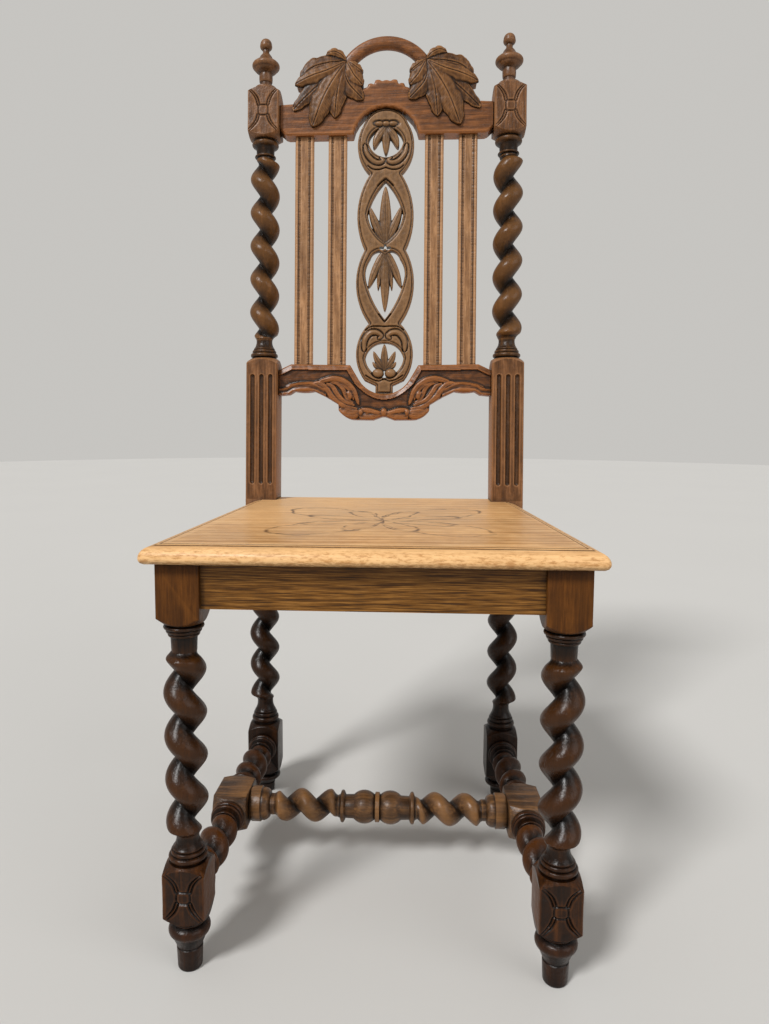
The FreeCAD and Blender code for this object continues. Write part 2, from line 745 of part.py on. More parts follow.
def brace_corners(rail_face, corner, way):
    """The plan of a diagonal brace past a leg's inner corner; way is 1 at the front, -1 at the back."""
    corner_across, corner_back = corner
    outer = corner_across - way * (corner_back - rail_face) - size["brace_clearance"] * ROOT_TWO
    inner = outer - size["brace_width"] * ROOT_TWO
    side_face = side_rail_front - half_rail + rail_splay * leg_back_face
    corners = []
    for start in (inner, outer):
        back = (side_face - start + way * rail_face) / (way + rail_splay)
        corners.append(((start, rail_face, 0), (side_face - rail_splay * back, back, 0)))
    (inner_rail, inner_side), (outer_rail, outer_side) = corners
    return [inner_rail, outer_rail, outer_side, inner_side]


def middle_of(corners):
    """The place in plan midway between a brace's corners."""
    across = sum((corner[0] for corner in corners), 0) / len(corners)
    back = sum((corner[1] for corner in corners), 0) / len(corners)
    return across, back


def brace(name, corners):
    """A corner brace with a clearance hole for its screw."""
    across, back = middle_of(corners)
    block = padded(f"{name}_block", "XY_Plane", size["brace_height"], corners,
                   offset=seat_under - size["brace_height"] / 2)
    return cut(name, block, drilled(f"{name}_hole", size["screw_radius"], size["brace_height"]
                                    + size["cut_overrun"], DOWN, across, back, seat_under))


def screw(name, corners):
    """The screw that runs up through a brace into the seat."""
    across, back = middle_of(corners)
    underside = seat_under - size["brace_height"]
    head = rod(f"{name}_head", size["screw_head_radius"], size["screw_head_height"], across=across, back=back,
               up=underside - size["screw_head_height"])
    shank = rod(f"{name}_shank", size["screw_radius"], size["brace_height"] + size["screw_bite"],
                across=across, back=back, up=underside)
    return fuse(name, head, shank)


def seat(name, screw_places):
    """The seat board, notched round the posts, with its front and sides rounded over."""
    gap = size["joint_clearance"]
    front_edge = front_axis - front_reach
    notch = post_front_face - gap
    inside = post_inner - gap
    right = [(leg_side + half_leg + size["seat_side_overhang"], front_edge, 0),
             (post_side + half_post - size["seat_post_setback"], notch, 0),
             (inside, notch, 0), (inside, post_front_face + size["seat_notch_depth"], 0)]
    body = padded(f"{name}_board", "XY_Plane", size["seat_thickness"], both_sides(right),
                  offset=seat_under + size["seat_thickness"] / 2)
    doc.recompute()
    nose = body.newObject("PartDesign::Fillet", f"{name}_nose")
    pad = body.getObject(f"{name}_board_pad")
    nose.Base = (pad, moulded_edges(pad.Shape))
    bind(nose, Radius=size["seat_nose_round"])
    depth = size["screw_bite"] + size["tenon_end_gap"]
    bores = [drilled(f"{name}_bore_{index}", size["screw_radius"], depth, UP, across, back, seat_under)
             for index, (across, back) in enumerate(screw_places)]
    return cut(name, body, *bores)


def moulded_edges(shape):
    """The seat's long edges along its front and sides, above and below."""
    names = []
    for index, edge in enumerate(shape.Edges, start=1):
        middle = edge.BoundBox.Center
        level = edge.BoundBox.ZLength < size["seat_thickness"].value / 2
        if level and (middle.y < front_axis.value or abs(middle.x) > leg_inner.value):
            names.append(f"Edge{index}")
    return names


def side_stretcher(name):
    """A right side stretcher between a front leg and a rear post, with the block for the cross stretcher."""
    ring = size["stretcher_block"] / 2
    neck = size["neck_radius"]
    collar = size["stretcher_collar_length"]
    radii = (size["stretcher_crest_radius"], size["stretcher_valley_radius"])
    pitch = size["stretcher_twist_pitch"]
    length = side_run / cosine(stretcher_turn)
    block_foot = block_middle - size["stretcher_block_length"] / 2
    block_top = block_foot + size["stretcher_block_length"]
    lead = size["cut_overrun"]
    upright = fuse(
        f"{name}_upright",
        turned(f"{name}_front_collar", ring, collar, STRETCHER_COLLAR_SHARES, 0, neck, lead),
        twist(f"{name}_front_twist", radii, pitch, collar, block_foot - collar * 2, collar * 2),
        upside_down(f"{name}_block_collar", ring, collar, STRETCHER_COLLAR_SHARES, block_foot - collar, neck),
        shouldered_block(f"{name}_block", size["stretcher_block"], block_foot,
                         size["stretcher_block_length"]),
        turned(f"{name}_far_collar", ring, collar, STRETCHER_COLLAR_SHARES, block_top, neck),
        twist(f"{name}_rear_twist", radii, pitch, block_top + collar, length - block_top - collar * 2,
              length - collar * 2),
        upside_down(f"{name}_rear_collar", ring, collar, STRETCHER_COLLAR_SHARES, length - collar, neck),
    )
    tail = rod(f"{name}_tail", ring * STRETCHER_COLLAR_SHARES[0][0], lead, up=length)
    laid = lay_along_side(f"{name}_laid", upright, tail)
    reach = leg_side + size["stretcher_block"]
    trimmed = common(f"{name}_trimmed", laid, box(f"{name}_run", (leg_inner - reach, reach),
                                                  (leg_back_face, post_front_face), evenly(seat_under)))
    spigot = size["spigot_length"] + lead
    front = rod(f"{name}_front_spigot", size["spigot_radius"], spigot, across=leg_side,
                back=leg_back_face - size["spigot_length"], up=size["stretcher_height"], turn=TO_BACK)
    rear = rod(f"{name}_rear_spigot", size["spigot_radius"], spigot, across=post_side,
               back=post_front_face + size["spigot_length"], up=size["stretcher_height"], turn=TO_FRONT)
    solid = fuse(f"{name}_solid", trimmed, front, rear)
    return cut(name, solid, spigot_hole(f"{name}_cross_hole", TO_RIGHT, across=cross_end,
                                        back=front_axis + size["stretcher_setback"],
                                        up=size["stretcher_height"]))


def lay_along_side(name, *items):
    """Lay what is modelled upright down along the right side, from the front leg to the rear post."""
    flat = place(group(f"{name}_flat", *items), turn=TO_BACK)
    return place(group(name, flat), leg_side, leg_back_face, size["stretcher_height"],
                 (Z_AXIS, stretcher_turn))


def cross_half(name, turn):
    """Half of the cross stretcher from its middle out to its end, which runs past the block's face."""
    ring = size["stretcher_block"] / 2
    neck = size["neck_radius"]
    centre = size["cross_centre_length"]
    collar_foot = cross_end - size["cross_collar_length"]
    half = fuse(
        name,
        turned(f"{name}_centre", ring, centre, CROSS_CENTRE_SHARES, neck=neck),
        twist(f"{name}_twist", (size["stretcher_crest_radius"], size["stretcher_valley_radius"]),
              size["stretcher_twist_pitch"], centre, collar_foot - centre, size["cross_twist_place"]),
        upside_down(f"{name}_collar", ring, size["cross_collar_length"], CROSS_COLLAR_SHARES, collar_foot,
                    neck),
        rod(f"{name}_tail", ring * CROSS_COLLAR_SHARES[0][0], size["cut_overrun"], up=cross_end),
    )
    return place(half, back=front_axis + size["stretcher_setback"], up=size["stretcher_height"], turn=turn)


def cross_stretcher(name):
    """The stretcher between the two side stretchers' blocks."""
    half_block = size["stretcher_block"] / 2
    blank = box(f"{name}_block_blank", evenly(half_block), evenly(half_block),
                (block_middle - half_block, block_middle + half_block))
    right_block = lay_along_side(f"{name}_right_block", blank)
    halves = fuse(f"{name}_halves", cross_half(f"{name}_right", TO_RIGHT),
                  cross_half(f"{name}_left", TO_LEFT))
    trimmed = cut(f"{name}_trimmed", halves, right_block, mirrored(f"{name}_left_block", right_block))
    spigots = rod(f"{name}_spigots", size["spigot_radius"], (cross_end + size["spigot_length"]) * 2,
                  across=-cross_end - size["spigot_length"], back=front_axis + size["stretcher_setback"],
                  up=size["stretcher_height"], turn=TO_RIGHT)
    return fuse(name, trimmed, spigots)


def crest_outline(height):
    """The crest rail's loop, with the arch in the middle of its bottom edge."""
    bottom = size["crest_bottom"]
    right = [(size["crest_arch_width"] / 2, bottom, 0)]
    right += [(post_inner * across, bottom + height * up, height * swell)
              for across, up, swell in CREST_SHARES]
    return both_sides(right, -size["crest_arch_rise"])


def slat_mortises(name, up):
    half = size["slat_tenon_width"] / 2
    return [mortise(f"{name}_slat_mortise_{index}", (middle - half, middle + half), back_tenon, up)
            for index, middle in enumerate(slat_places())]


def slat_places():
    """The slats' middles, from the left to the right."""
    inner = size["slat_inner_place"]
    outer = size["slat_outer_place"]
    return (-outer, -inner, inner, outer)


def splat_tenon_half():
    return size["splat_half_width"] * SPLAT_EDGE_SHARES[0][0] - size["tenon_end_gap"]


def tenoned_rail(name, board, up):
    """A rail of the back from its board, with a tenon at each end between two heights."""
    root = post_inner - size["cut_overrun"]
    tip = post_inner + size["tenon_length"]
    return fuse(f"{name}_solid", board, box(f"{name}_left_tenon", (-tip, -root), back_tenon, up),
                box(f"{name}_right_tenon", (root, tip), back_tenon, up))


def crest_rail(name):
    """The crest rail, with mortises for the slats and the splat and holes for the cresting's dowels."""
    board = padded(f"{name}_board", "XZ_Plane", size["back_board"], crest_outline(size["crest_height"]))
    solid = tenoned_rail(name, board, crest_tenon_up)
    lead = size["cut_overrun"]
    slat_up = (size["crest_bottom"] - lead, size["crest_bottom"] + back_mortise_depth)
    splat_up = (arch_top - lead, arch_top + back_mortise_depth)
    rail = cut(name, solid, *slat_mortises(name, slat_up), *dowel_holes(name),
               mortise(f"{name}_splat_mortise", evenly(splat_tenon_half()), back_tenon, splat_up))
    return rake(rail)


def dowel_middle():
    """The height up the rake at which a dowel's middle crosses the crest rail's top edge."""
    (outer, low, unused), (inner, high, unused) = CREST_SHARES[4:6]
    share = (size["dowel_place"] / post_inner - outer) * ((high - low) / (inner - outer)) + low
    return size["crest_bottom"] + size["crest_height"] * share


def dowel_pair(name, radius, length):
    """Two rods along the dowels' axes, centred on the crest rail's top edge."""
    return [rod(f"{name}_{side}", radius, length, across=middle, up=dowel_middle() - length / 2)
            for side, middle in (("left", -size["dowel_place"]), ("right", size["dowel_place"]))]


def dowel_holes(name):
    return dowel_pair(f"{name}_dowel_hole", size["dowel_radius"] + size["joint_clearance"],
                      size["dowel_length"] + size["tenon_end_gap"] * 2)


def lower_back_rail(name):
    """The lower rail of the back, dipped in its middle for the splat."""
    bottom = size["lower_rail_bottom"]
    height = size["lower_rail_height"]
    right = [(post_inner * across, bottom + height * up, height * swell)
             for across, up, swell in LOWER_RAIL_SHARES]
    board = padded(f"{name}_board", "XZ_Plane", size["back_board"], both_sides(right))
    solid = tenoned_rail(name, board, lower_tenon_up)
    lead = size["cut_overrun"]
    slat_up = (lower_rail_top - back_mortise_depth, lower_rail_top + lead)
    splat_up = (dip_bottom - back_mortise_depth, dip_bottom + lead)
    rail = cut(name, solid, *slat_mortises(name, slat_up),
               mortise(f"{name}_splat_mortise", evenly(splat_tenon_half()), back_tenon, splat_up))
    return rake(rail)


def slat(name, middle):
    """A slat of the back with its tenons."""
    half = size["slat_width"] / 2
    half_tenon_width = size["slat_tenon_width"] / 2
    reach = size["back_tenon_length"]
    board = box(f"{name}_board", (middle - half, middle + half), evenly(size["slat_thickness"] / 2),
                (lower_rail_top, size["crest_bottom"]))
    tenons = box(f"{name}_tenons", (middle - half_tenon_width, middle + half_tenon_width), back_tenon,
                 (lower_rail_top - reach, size["crest_bottom"] + reach))
    return rake(fuse(name, board, tenons))


def splat(name, lower_board, crest_board):
    """The pierced splat of four linked ovals with a leaf in each."""
    half = size["splat_half_width"]
    foot = dip_bottom - size["splat_fit"]
    height = arch_top + size["splat_fit"] - foot
    edge = [(half * across, foot + height * up, half * swell) for across, up, swell in SPLAT_EDGE_SHARES]
    openings = [both_sides([(half * across if across else 0, foot + height * up, half * swell)
                            for across, up, swell in shares]) for shares in SPLAT_OPENING_SHARES]
    frame = padded(f"{name}_frame", "XZ_Plane", size["splat_thickness"], both_sides(edge), *openings)
    leaves = []
    for index, (low, high) in enumerate(PALMETTE_PLACE_SHARES):
        right = [(half * (PALMETTE_WIDTH_SHARE * across) if across else 0,
                  foot + height * (low + (high - low) * up), 0) for across, up in PALMETTE_EDGE_SHARES]
        leaves.append(padded(f"{name}_leaf_{index}", "XZ_Plane", size["palmette_thickness"],
                             both_sides(right)))
    carved = cut(f"{name}_carved", fuse(f"{name}_blank", frame, *leaves), lower_board, crest_board)
    reach = size["back_tenon_length"]
    lap = size["splat_fit"] * 2
    low_tenon = box(f"{name}_low_tenon", evenly(splat_tenon_half()), back_tenon,
                    (dip_bottom - reach, dip_bottom + lap))
    high_tenon = box(f"{name}_high_tenon", evenly(splat_tenon_half()), back_tenon,
                     (arch_top - lap, arch_top + reach))
    return rake(fuse(name, carved, low_tenon, high_tenon))


def cresting(name):
    """The carved hoop with a vine leaf at each end, rebated over the crest rail."""
    leaf_loop = [(size["leaf_inner_place"] + size["leaf_width"] * across,
                  size["leaf_bottom"] + size["leaf_height"] * up, 0) for across, up in LEAF_SHARES]
    front = size["back_board"] / 2 + size["leaf_proud"]
    middle = front - size["cresting_depth"] / 2
    right_leaf = padded(f"{name}_right_leaf", "XZ_Plane", size["cresting_depth"], leaf_loop, offset=middle)
    hoop = doc.addObject("Part::Torus", f"{name}_hoop")
    bind(hoop, Radius1=size["hoop_radius"], Radius2=size["hoop_section_radius"],
         Angle3=HALF_TURN - size["hoop_end_angle"] * 2)
    spin = place(group(f"{name}_hoop_turned", hoop), turn=(Z_AXIS, size["hoop_end_angle"]))
    arch = place(group(f"{name}_hoop_upright", spin), back=-middle, up=size["hoop_centre_height"],
                 turn=TO_FRONT)
    gap = size["cresting_gap"]
    rebate = padded(f"{name}_rebate", "XZ_Plane", size["back_board"] + gap * 2,
                    crest_outline(size["crest_height"] + gap))
    blank = fuse(f"{name}_blank", right_leaf, mirrored(f"{name}_left_leaf", right_leaf), arch)
    return rake(cut(name, blank, rebate, *dowel_holes(name)))


def cresting_dowels(name):
    """The two dowels that pin the cresting down on the crest rail."""
    return rake(group(name, *dowel_pair(name, size["dowel_radius"], size["dowel_length"])))


def build_chair():
    """Every piece of the chair, each a node of its own."""
    leg_right = front_leg("front_leg_right")
    post_right = rear_post("rear_post_right", 0)
    post_left = mirrored("rear_post_left", rear_post("rear_post_left_twin", HALF_TURN))
    finial_right = finial("finial_right")
    rail_right = side_rail("side_rail_right")
    stretcher_right = side_stretcher("side_stretcher_right")
    pieces = [
        leg_right, mirrored("front_leg_left", leg_right), post_right, post_left,
        finial_right, mirrored("finial_left", finial_right),
        straight_rail("front_rail", leg_inner, front_rail_middle),
        straight_rail("rear_rail", post_inner, rear_rail_middle),
        rail_right, mirrored("side_rail_left", rail_right),
        stretcher_right, mirrored("side_stretcher_left", stretcher_right),
        cross_stretcher("cross_stretcher"),
    ]
    front_corners = brace_corners(front_rail_middle + half_rail, (leg_inner, leg_back_face), 1)
    rear_corners = brace_corners(rear_rail_middle - half_rail, (post_inner, post_front_face), -1)
    screws = []
    for end, corners in (("front", front_corners), ("rear", rear_corners)):
        right = brace(f"corner_brace_{end}_right", corners)
        right_screw = screw(f"{end}_screw_right", corners)
        pieces += [right, mirrored(f"corner_brace_{end}_left", right)]
        screws += [right_screw, mirrored(f"{end}_screw_left", right_screw)]
    pieces.append(group("seat_screws", *screws))
    places = [middle_of(front_corners), middle_of(rear_corners)]
    pieces.append(seat("seat", places + [(-across, back) for across, back in places]))
    crest = crest_rail("crest_rail")
    lower = lower_back_rail("lower_back_rail")
    pieces += [crest, lower, splat("splat", doc.getObject("lower_back_rail_board"),
                                   doc.getObject("crest_rail_board"))]
    names = ("slat_left_outer", "slat_left_inner", "slat_right_inner", "slat_right_outer")
    pieces += [slat(name, middle) for name, middle in zip(names, slat_places())]
    pieces += [cresting("cresting"), cresting_dowels("cresting_dowels")]
    return pieces


def main():
    pieces = build_chair()
    doc.recompute()
    failed = [item.Name for item in doc.Objects if "Invalid" in item.State or "Error" in item.State]
    if failed:
        raise RuntimeError(f"objects that failed: {failed}")
    for piece in pieces:
        if piece.Shape.isNull() or not piece.Shape.isValid():
            raise RuntimeError(f"{piece.Label} has no valid shape")
    os.makedirs("parts", exist_ok=True)
    for piece in pieces:
        piece.Shape.exportStep(f"parts/{piece.Label}.step")
        print(f"{piece.Label}: {len(piece.Shape.Solids)} solid(s), {piece.Shape.Volume:.0f} cubic mm")


main()
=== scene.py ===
import contextlib
import math

import bpy
import numpy as np
from mathutils import Euler, Matrix, Vector


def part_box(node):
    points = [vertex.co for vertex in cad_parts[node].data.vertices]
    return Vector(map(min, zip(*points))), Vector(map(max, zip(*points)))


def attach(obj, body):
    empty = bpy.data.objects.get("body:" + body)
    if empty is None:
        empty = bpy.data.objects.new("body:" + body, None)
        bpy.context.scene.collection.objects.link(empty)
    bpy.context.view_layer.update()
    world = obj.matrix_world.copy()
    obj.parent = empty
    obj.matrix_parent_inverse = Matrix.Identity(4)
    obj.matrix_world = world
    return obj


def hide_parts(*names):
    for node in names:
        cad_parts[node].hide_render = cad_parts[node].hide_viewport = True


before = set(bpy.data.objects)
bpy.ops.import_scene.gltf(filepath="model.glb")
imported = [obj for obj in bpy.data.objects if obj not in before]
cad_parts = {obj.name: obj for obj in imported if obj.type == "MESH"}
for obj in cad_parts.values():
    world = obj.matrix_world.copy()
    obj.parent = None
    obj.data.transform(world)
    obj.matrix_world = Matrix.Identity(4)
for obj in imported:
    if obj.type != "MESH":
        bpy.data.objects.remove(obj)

bl_info = {
    "name": "Wainscot chair",
    "version": (1, 0, 0),
    "blender": (4, 5, 0),
    "location": "3D View > Sidebar > Wainscot chair",
    "description": "Dresses the chair's frame: turned and twisted oak, carved back, moulded seat",
    "category": "Object",
}

MM = 0.001
FULL_TURN = math.tau
QUARTER_TURN = math.pi / 2
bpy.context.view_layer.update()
LEG_LOW, LEG_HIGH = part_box("front_leg_right")
FRONT_AXIS = (LEG_LOW.y + LEG_HIGH.y) / 2
LEG_SIDE = (LEG_LOW.x + LEG_HIGH.x) / 2
SEAT_LOW, SEAT_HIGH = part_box("seat")

# Turned outlines, the collars' from the square block outwards: radius, height and the swell of the
# arc that runs on to the next corner, the heights as shares of the turning's, the rest of its radius
FOOT = (
    (0.54, 0, 0.015), (0.60, 0.05, 0), (0.64, 0.41, 0), (0.60, 0.43, 0), (0.64, 0.46, 0),
    (0.86, 0.66, 0.14), (0.90, 0.87, 0), (0.78, 0.90, 0), (0.80, 0.92, 0.03), (0.80, 0.97, 0),
    (0.76, 0.98, 0), (0.80, 1, 0),
)
HEAD_COLLAR = (
    (0.78, 0, 0), (0.78, 0.04, 0), (0.90, 0.07, 0.05), (0.90, 0.19, 0), (0.80, 0.21, 0.04), (0.80, 0.33, 0),
    (0.71, 0.35, 0.04), (0.71, 0.46, 0), (0.63, 0.48, 0), (0.61, 0.80, 0), (0.60, 1, 0),
)
FOOT_COLLAR = (
    (0.78, 0, 0), (0.78, 0.05, 0), (0.87, 0.08, 0.06), (0.87, 0.26, 0), (0.78, 0.28, 0.04), (0.78, 0.42, 0),
    (0.70, 0.44, 0.03), (0.70, 0.52, -0.05), (0.54, 0.90, 0), (0.56, 1, 0),
)
CAP_COLLAR = (
    (0.70, 0, 0), (0.70, 0.06, 0), (0.80, 0.09, 0.12), (0.78, 0.34, 0), (0.66, 0.38, 0), (0.62, 0.42, 0),
    (0.60, 0.78, 0), (0.68, 0.80, 0.04), (0.68, 0.90, 0), (0.58, 0.92, 0), (0.58, 1, 0),
)
FINIAL = (
    (0.74, 0, 0), (0.74, 0.05, 0), (0.37, 0.09, 0), (0.37, 0.15, 0), (0.44, 0.17, 0.02),
    (0.44, 0.33, 0), (0.58, 0.36, 0.03), (0.80, 0.42, 0), (0.86, 0.43, 0.09), (0.84, 0.53, 0),
    (0.78, 0.545, -0.05), (0.40, 0.66, 0), (0.22, 0.725, 0), (0.22, 0.785, 0.09), (0.40, 0.885, 0.12),
    (0, 1, 0),
)
STRETCHER_COLLAR = (
    (0.80, 0, 0), (0.80, 0.06, 0), (0.88, 0.08, 0.10), (0.88, 0.34, 0), (0.78, 0.36, 0),
    (0.82, 0.40, 0.09), (0.82, 0.56, 0), (0.66, 0.60, 0), (0.62, 0.76, 0), (0.70, 0.80, 0.04),
    (0.70, 0.90, 0), (0.60, 0.92, 0), (0.60, 1, 0),
)
CROSS_COLLAR = (
    (0.92, 0, 0), (1, 0.10, 0), (1, 0.46, 0), (0.92, 0.50, 0.07), (0.74, 0.82, 0), (0.60, 0.86, 0),
    (0.60, 1, 0),
)
CROSS_CENTRE = (
    (0.84, 0, 0), (0.84, 0.05, 0), (0.70, 0.07, 0), (0.76, 0.10, 0.22), (0.68, 0.60, 0),
    (0.66, 0.80, 0), (0.86, 0.84, 0.05), (0.86, 0.92, 0), (0.66, 0.95, 0), (0.62, 1, 0),
)

# Legs and posts in metres: radius of the turned feet, heights of the collars and of the heads
FOOT_RADIUS, COLLAR_HEIGHT, HEAD_HEIGHT = 0.022, 0.030, 0.066
# A front leg above the floor: the tops of its foot and its block, and one crest of its twist on the
# outer side
LEG_FOOT, LEG_BLOCK_TOP, LEG_CREST = 0.058, 0.122, 0.262
# A rear post below the seat: the heights of its foot, block and collar, and its crest as above
POST_FOOT, POST_BLOCK, POST_COLLAR, POST_CREST = 0.033, 0.080, 0.038, 0.257
# A rear post on the rake, up from the seat: the ends of the flutes and of each part, its crest as
# above, and how far the two lengths of the post run into each other at the bend
FLUTE_LOW, FLUTE_HIGH, FLUTED_TOP = 0.026, 0.184, 0.213
HIGH_TWIST_FOOT = FLUTED_TOP + 0.031
HIGH_TWIST_TOP = HIGH_TWIST_FOOT + 0.273
CAP_FOOT = HIGH_TWIST_TOP + 0.029
CAP_TOP = CAP_FOOT + 0.076
HIGH_CREST = 0.413
BEND_OVERLAP = 1.5 * MM
# How far behind the front legs' axes the cross stretcher is, half the length of the blocks that it
# stands in, the length of the side stretchers' collars, and how far a stretcher's twist runs out
CROSS_PLACE, HALF_BLOCK_LENGTH, END_COLLAR, STRETCHER_RUN_OUT = 0.192, 0.0335, 0.022, 0.009
# The cross stretcher from its middle: the end of its vase, one crest of its twist, and the length of
# its collar
CROSS_MIDDLE, CROSS_CREST, CROSS_END = 0.052, 0.098, 0.031
# The flutes of the rear posts: how far apart, half their width and their depth
FLUTE_SPACING, FLUTE_REACH, FLUTE_DEPTH = 13.5 * MM, 3.5 * MM, 3.4 * MM

# The back's boards in millimetres up the rake from the seat: across, height and swell of the
# right half's outline, from the middle of the bottom round to the middle of the top. The fields
# are the low and high corners, in metres, of the grids that the boards are cut from
CREST_EDGE = (
    (49.5, 550, 0), (148.4, 550, 0), (153.2, 551.6, 0), (161.2, 558.9, 0), (161.2, 596.2, 0),
    (132.2, 597.8, 0), (80.6, 608.3, 0), (37.1, 618, 0), (28.5, 620.8, 0), (27, 625, 1), (20.5, 625.6, 0),
    (18.5, 624.4, 0), (16.5, 630.6, 1), (8.5, 630.8, -1), (3.5, 630.4, 0.5),
)
CREST_ARCH = -42
CREST_FIELD = (-0.1613, 0.549), (0.1613, 0.632)
LOWER_EDGE = (
    (2.4, 125.5, 0), (16.1, 120.5, 0), (46.8, 120.9, 2.5), (68.5, 134.4, 0), (69.3, 144, 0),
    (90.3, 156.6, 0), (106.4, 164.2, 1.7), (137.1, 164.2, 0), (145.1, 159.1, 0), (161.2, 157.5, 0),
    (161.2, 195.3, 0), (141.9, 204.5, 0), (51.6, 203.2, 0), (37.9, 180.1, -21),
)
LOWER_FIELD = (-0.1613, 0.1195), (0.1613, 0.2055)
# The edges that its carving follows: the top one dips in the middle to a height, and by the first
# corner has risen by so much
LOWER_TOP = (37.9, 180.1), (51.6, 203.2), (141.9, 204.5), (161.2, 195.3)
LOWER_DIP, LOWER_DIP_RISE = 159.2, 20.9
LOWER_FOOT = (
    (161.2, 157.5), (145.1, 159.1), (137.1, 164.2), (128, 166.5), (115, 167), (106.4, 164.2), (90.3, 156.6),
)
# The leaf on the right of the cresting: the points of each lobe's vein, its width and its height
LEAF_LOBES = (
    (((60, 659), (69, 667), (79, 671), (91, 668)), 15, 6.4),
    (((60, 658), (88, 655), (112, 648), (130, 632)), 29, 5.2),
    (((60, 657), (86, 644), (110, 636), (138, 624)), 27, 7.0),
    (((61, 656), (84, 638), (112, 614), (142, 585)), 27, 3.8),
    (((61, 656), (77, 633), (94, 603), (111, 560)), 38, 7.2),
    (((61, 655), (69, 631), (74, 607), (77, 573)), 29, 6.0),
    (((61, 655), (62, 640), (55, 622), (34, 600)), 29, 5.0),
    (((59, 657), (55, 648), (47, 634), (35, 621)), 26, 6.6),
    (((58, 657), (52, 653), (44, 647), (35, 640)), 15, 6.0),
)
LEAF_FIELD = (0.0345, 0.561), (0.1395, 0.6745)
LEAF_BACK_FIELD = (0.0345, 0.575), (0.1395, 0.6745)
LEAF_HUB, LEAF_HUB_RADIUS = (61 * MM, 657 * MM), 9 * MM
# The hoop between the leaves: its radius and its section's, the height of its centre, how far back
# it lies, and the angle in degrees at which it starts
HOOP_RADIUS, HOOP_THICKNESS, HOOP_CENTRE, HOOP_BACK, HOOP_START = 0.0685, 0.00918, 0.619, -0.006, 28
# Carving of the lower rail's right half: the points of each stroke, its width and its height
RAIL_STROKES = (
    (((150, 168), (137, 171), (120, 172.5), (105, 172), (92, 167), (82, 160), (74, 152)), 12, 2.2),
    (((112, 173), (98, 175), (88, 168), (79, 156), (68, 146), (56, 139.5), (40, 137)), 10, 3.4),
    (((98, 178), (86, 181), (76, 182.5), (64, 180), (53, 173), (45, 163), (41, 152), (38, 143)), 10, 3.6),
    (((88, 175), (78, 170), (72, 160), (64, 151), (54, 145.5), (44, 142)), 9, 3.2),
    (((82, 178), (70, 175), (62, 167), (58, 157), (53, 149), (46, 146)), 8, 3.0),
    (((74, 178), (62, 173.5), (53, 166), (47, 157), (46, 150)), 7, 3.2),
    (((55, 163.5), (52, 158), (51, 151)), 9, 4.4),
    (((70, 134.5), (60, 129), (48, 128), (36, 130.5)), 17, 3.8),
    (((66, 138), (56, 135), (46, 133), (35, 132.5)), 8, 3.4),
    (((37, 126), (24, 124.5), (12, 126), (1, 131)), 11, 3.6),
    (((36, 135), (24, 134.5), (12, 131.5), (1, 129.5)), 9, 3.8),
    (((34, 130.5), (22, 129.5), (10, 129), (2, 130)), 6, 3.0),
)
RAIL_KNOTS = ((35, 131.5, 4.2), (0, 131, 5.5))
# The splat: its right edge and its openings as the rails' outlines above
SPLAT_EDGE = (
    (13.2, 158.8, 0), (13.2, 172.6, 0), (29.9, 180.4, 16.3), (24.2, 267, 16.3), (31.2, 378.8, 15),
    (24.2, 493.1, 13.2), (34.3, 568, 23.8),
)
SPLAT_OPENINGS = (
    ((0, 184.8, 7), (29, 214.2, 7), (0, 237.6, 0)),
    ((0, 273.6, 4), (29, 334.2, 3.5), (22.5, 365.6, 3), (9, 377, 0), (0, 371, 0)),
    ((0, 389.2, 5.7), (26.8, 432.5, 4), (0, 482.7, 0)),
    ((0, 519, 6.2), (26.4, 542, 6.2), (0, 563.6, 0)),
)
SPLAT_FIELD = (-0.0445, 0.1585), (0.0445, 0.5935)
# Its leaves: strokes of the right half, their width and height; a stroke on the middle counts once
SPLAT_LEAVES = (
    (((0, 566), (0, 550), (0, 523)), 13, 4.2),
    (((1, 565), (7, 557), (14, 547), (18.5, 533)), 13, 4.6),
    (((0, 388), (0, 430), (0, 475)), 19, 4.6),
    (((2, 390), (10, 408), (18, 426), (24.5, 445)), 14, 4.2),
    (((2, 390), (9, 397), (15, 402), (21, 405)), 7, 3.0),
    (((0, 378), (0, 330), (0, 286)), 16, 4.4),
    (((2, 374), (9, 360), (17, 343), (25, 322)), 13, 4.4),
    (((2, 366), (6, 350), (9, 336), (10.5, 318)), 8, 3.6),
    (((0, 196), (0, 214), (0, 236)), 12, 3.4),
    (((1, 198), (7, 206), (12, 214), (16.5, 225)), 10, 3.2),
    (((1, 196), (8, 200), (14, 204), (18, 209)), 8, 2.8),
)
# Its volutes, as the leaves, and its balls: across, height, half width and half height
SPLAT_SCROLLS = (
    (((31, 224), (30, 241), (22, 252), (12, 253), (5, 248), (10, 243)), 10, 6.6),
    (((32, 538), (29, 524), (20, 513), (10, 509.5), (4, 513), (9, 518)), 9, 6.4),
)
SPLAT_BOSSES = (9.5, 191.5, 8.8, 7.4), (0, 568.5, 7, 4.4), (10.5, 568.5, 8, 4.2)
# The cuts between its straps, and the small slots between the two middle leaves
SPLAT_GROOVES = (
    ((0, 183), (8, 179.5), (18, 182), (28, 188)),
    ((0, 502), (10, 499), (20, 500), (27, 505)),
    ((0, 262), (9, 262.5), (20, 262), (29, 257)),
    ((9, 281), (3, 273), (-3, 265)),
    ((0, 485), (6, 481), (12, 475)),
)
SPLAT_PIERCED = (((0, 379), (0, 387)), ((1, 379.5), (9, 381.5)))
# The slats: the heights that they show between, and how far from the middle their axes are
SLAT_LOW, SLAT_HIGH = 0.2045, 0.550
SLAT_PLACES = {"left_outer": -123.9, "left_inner": -73.2, "right_inner": 73.2, "right_outer": 123.9}
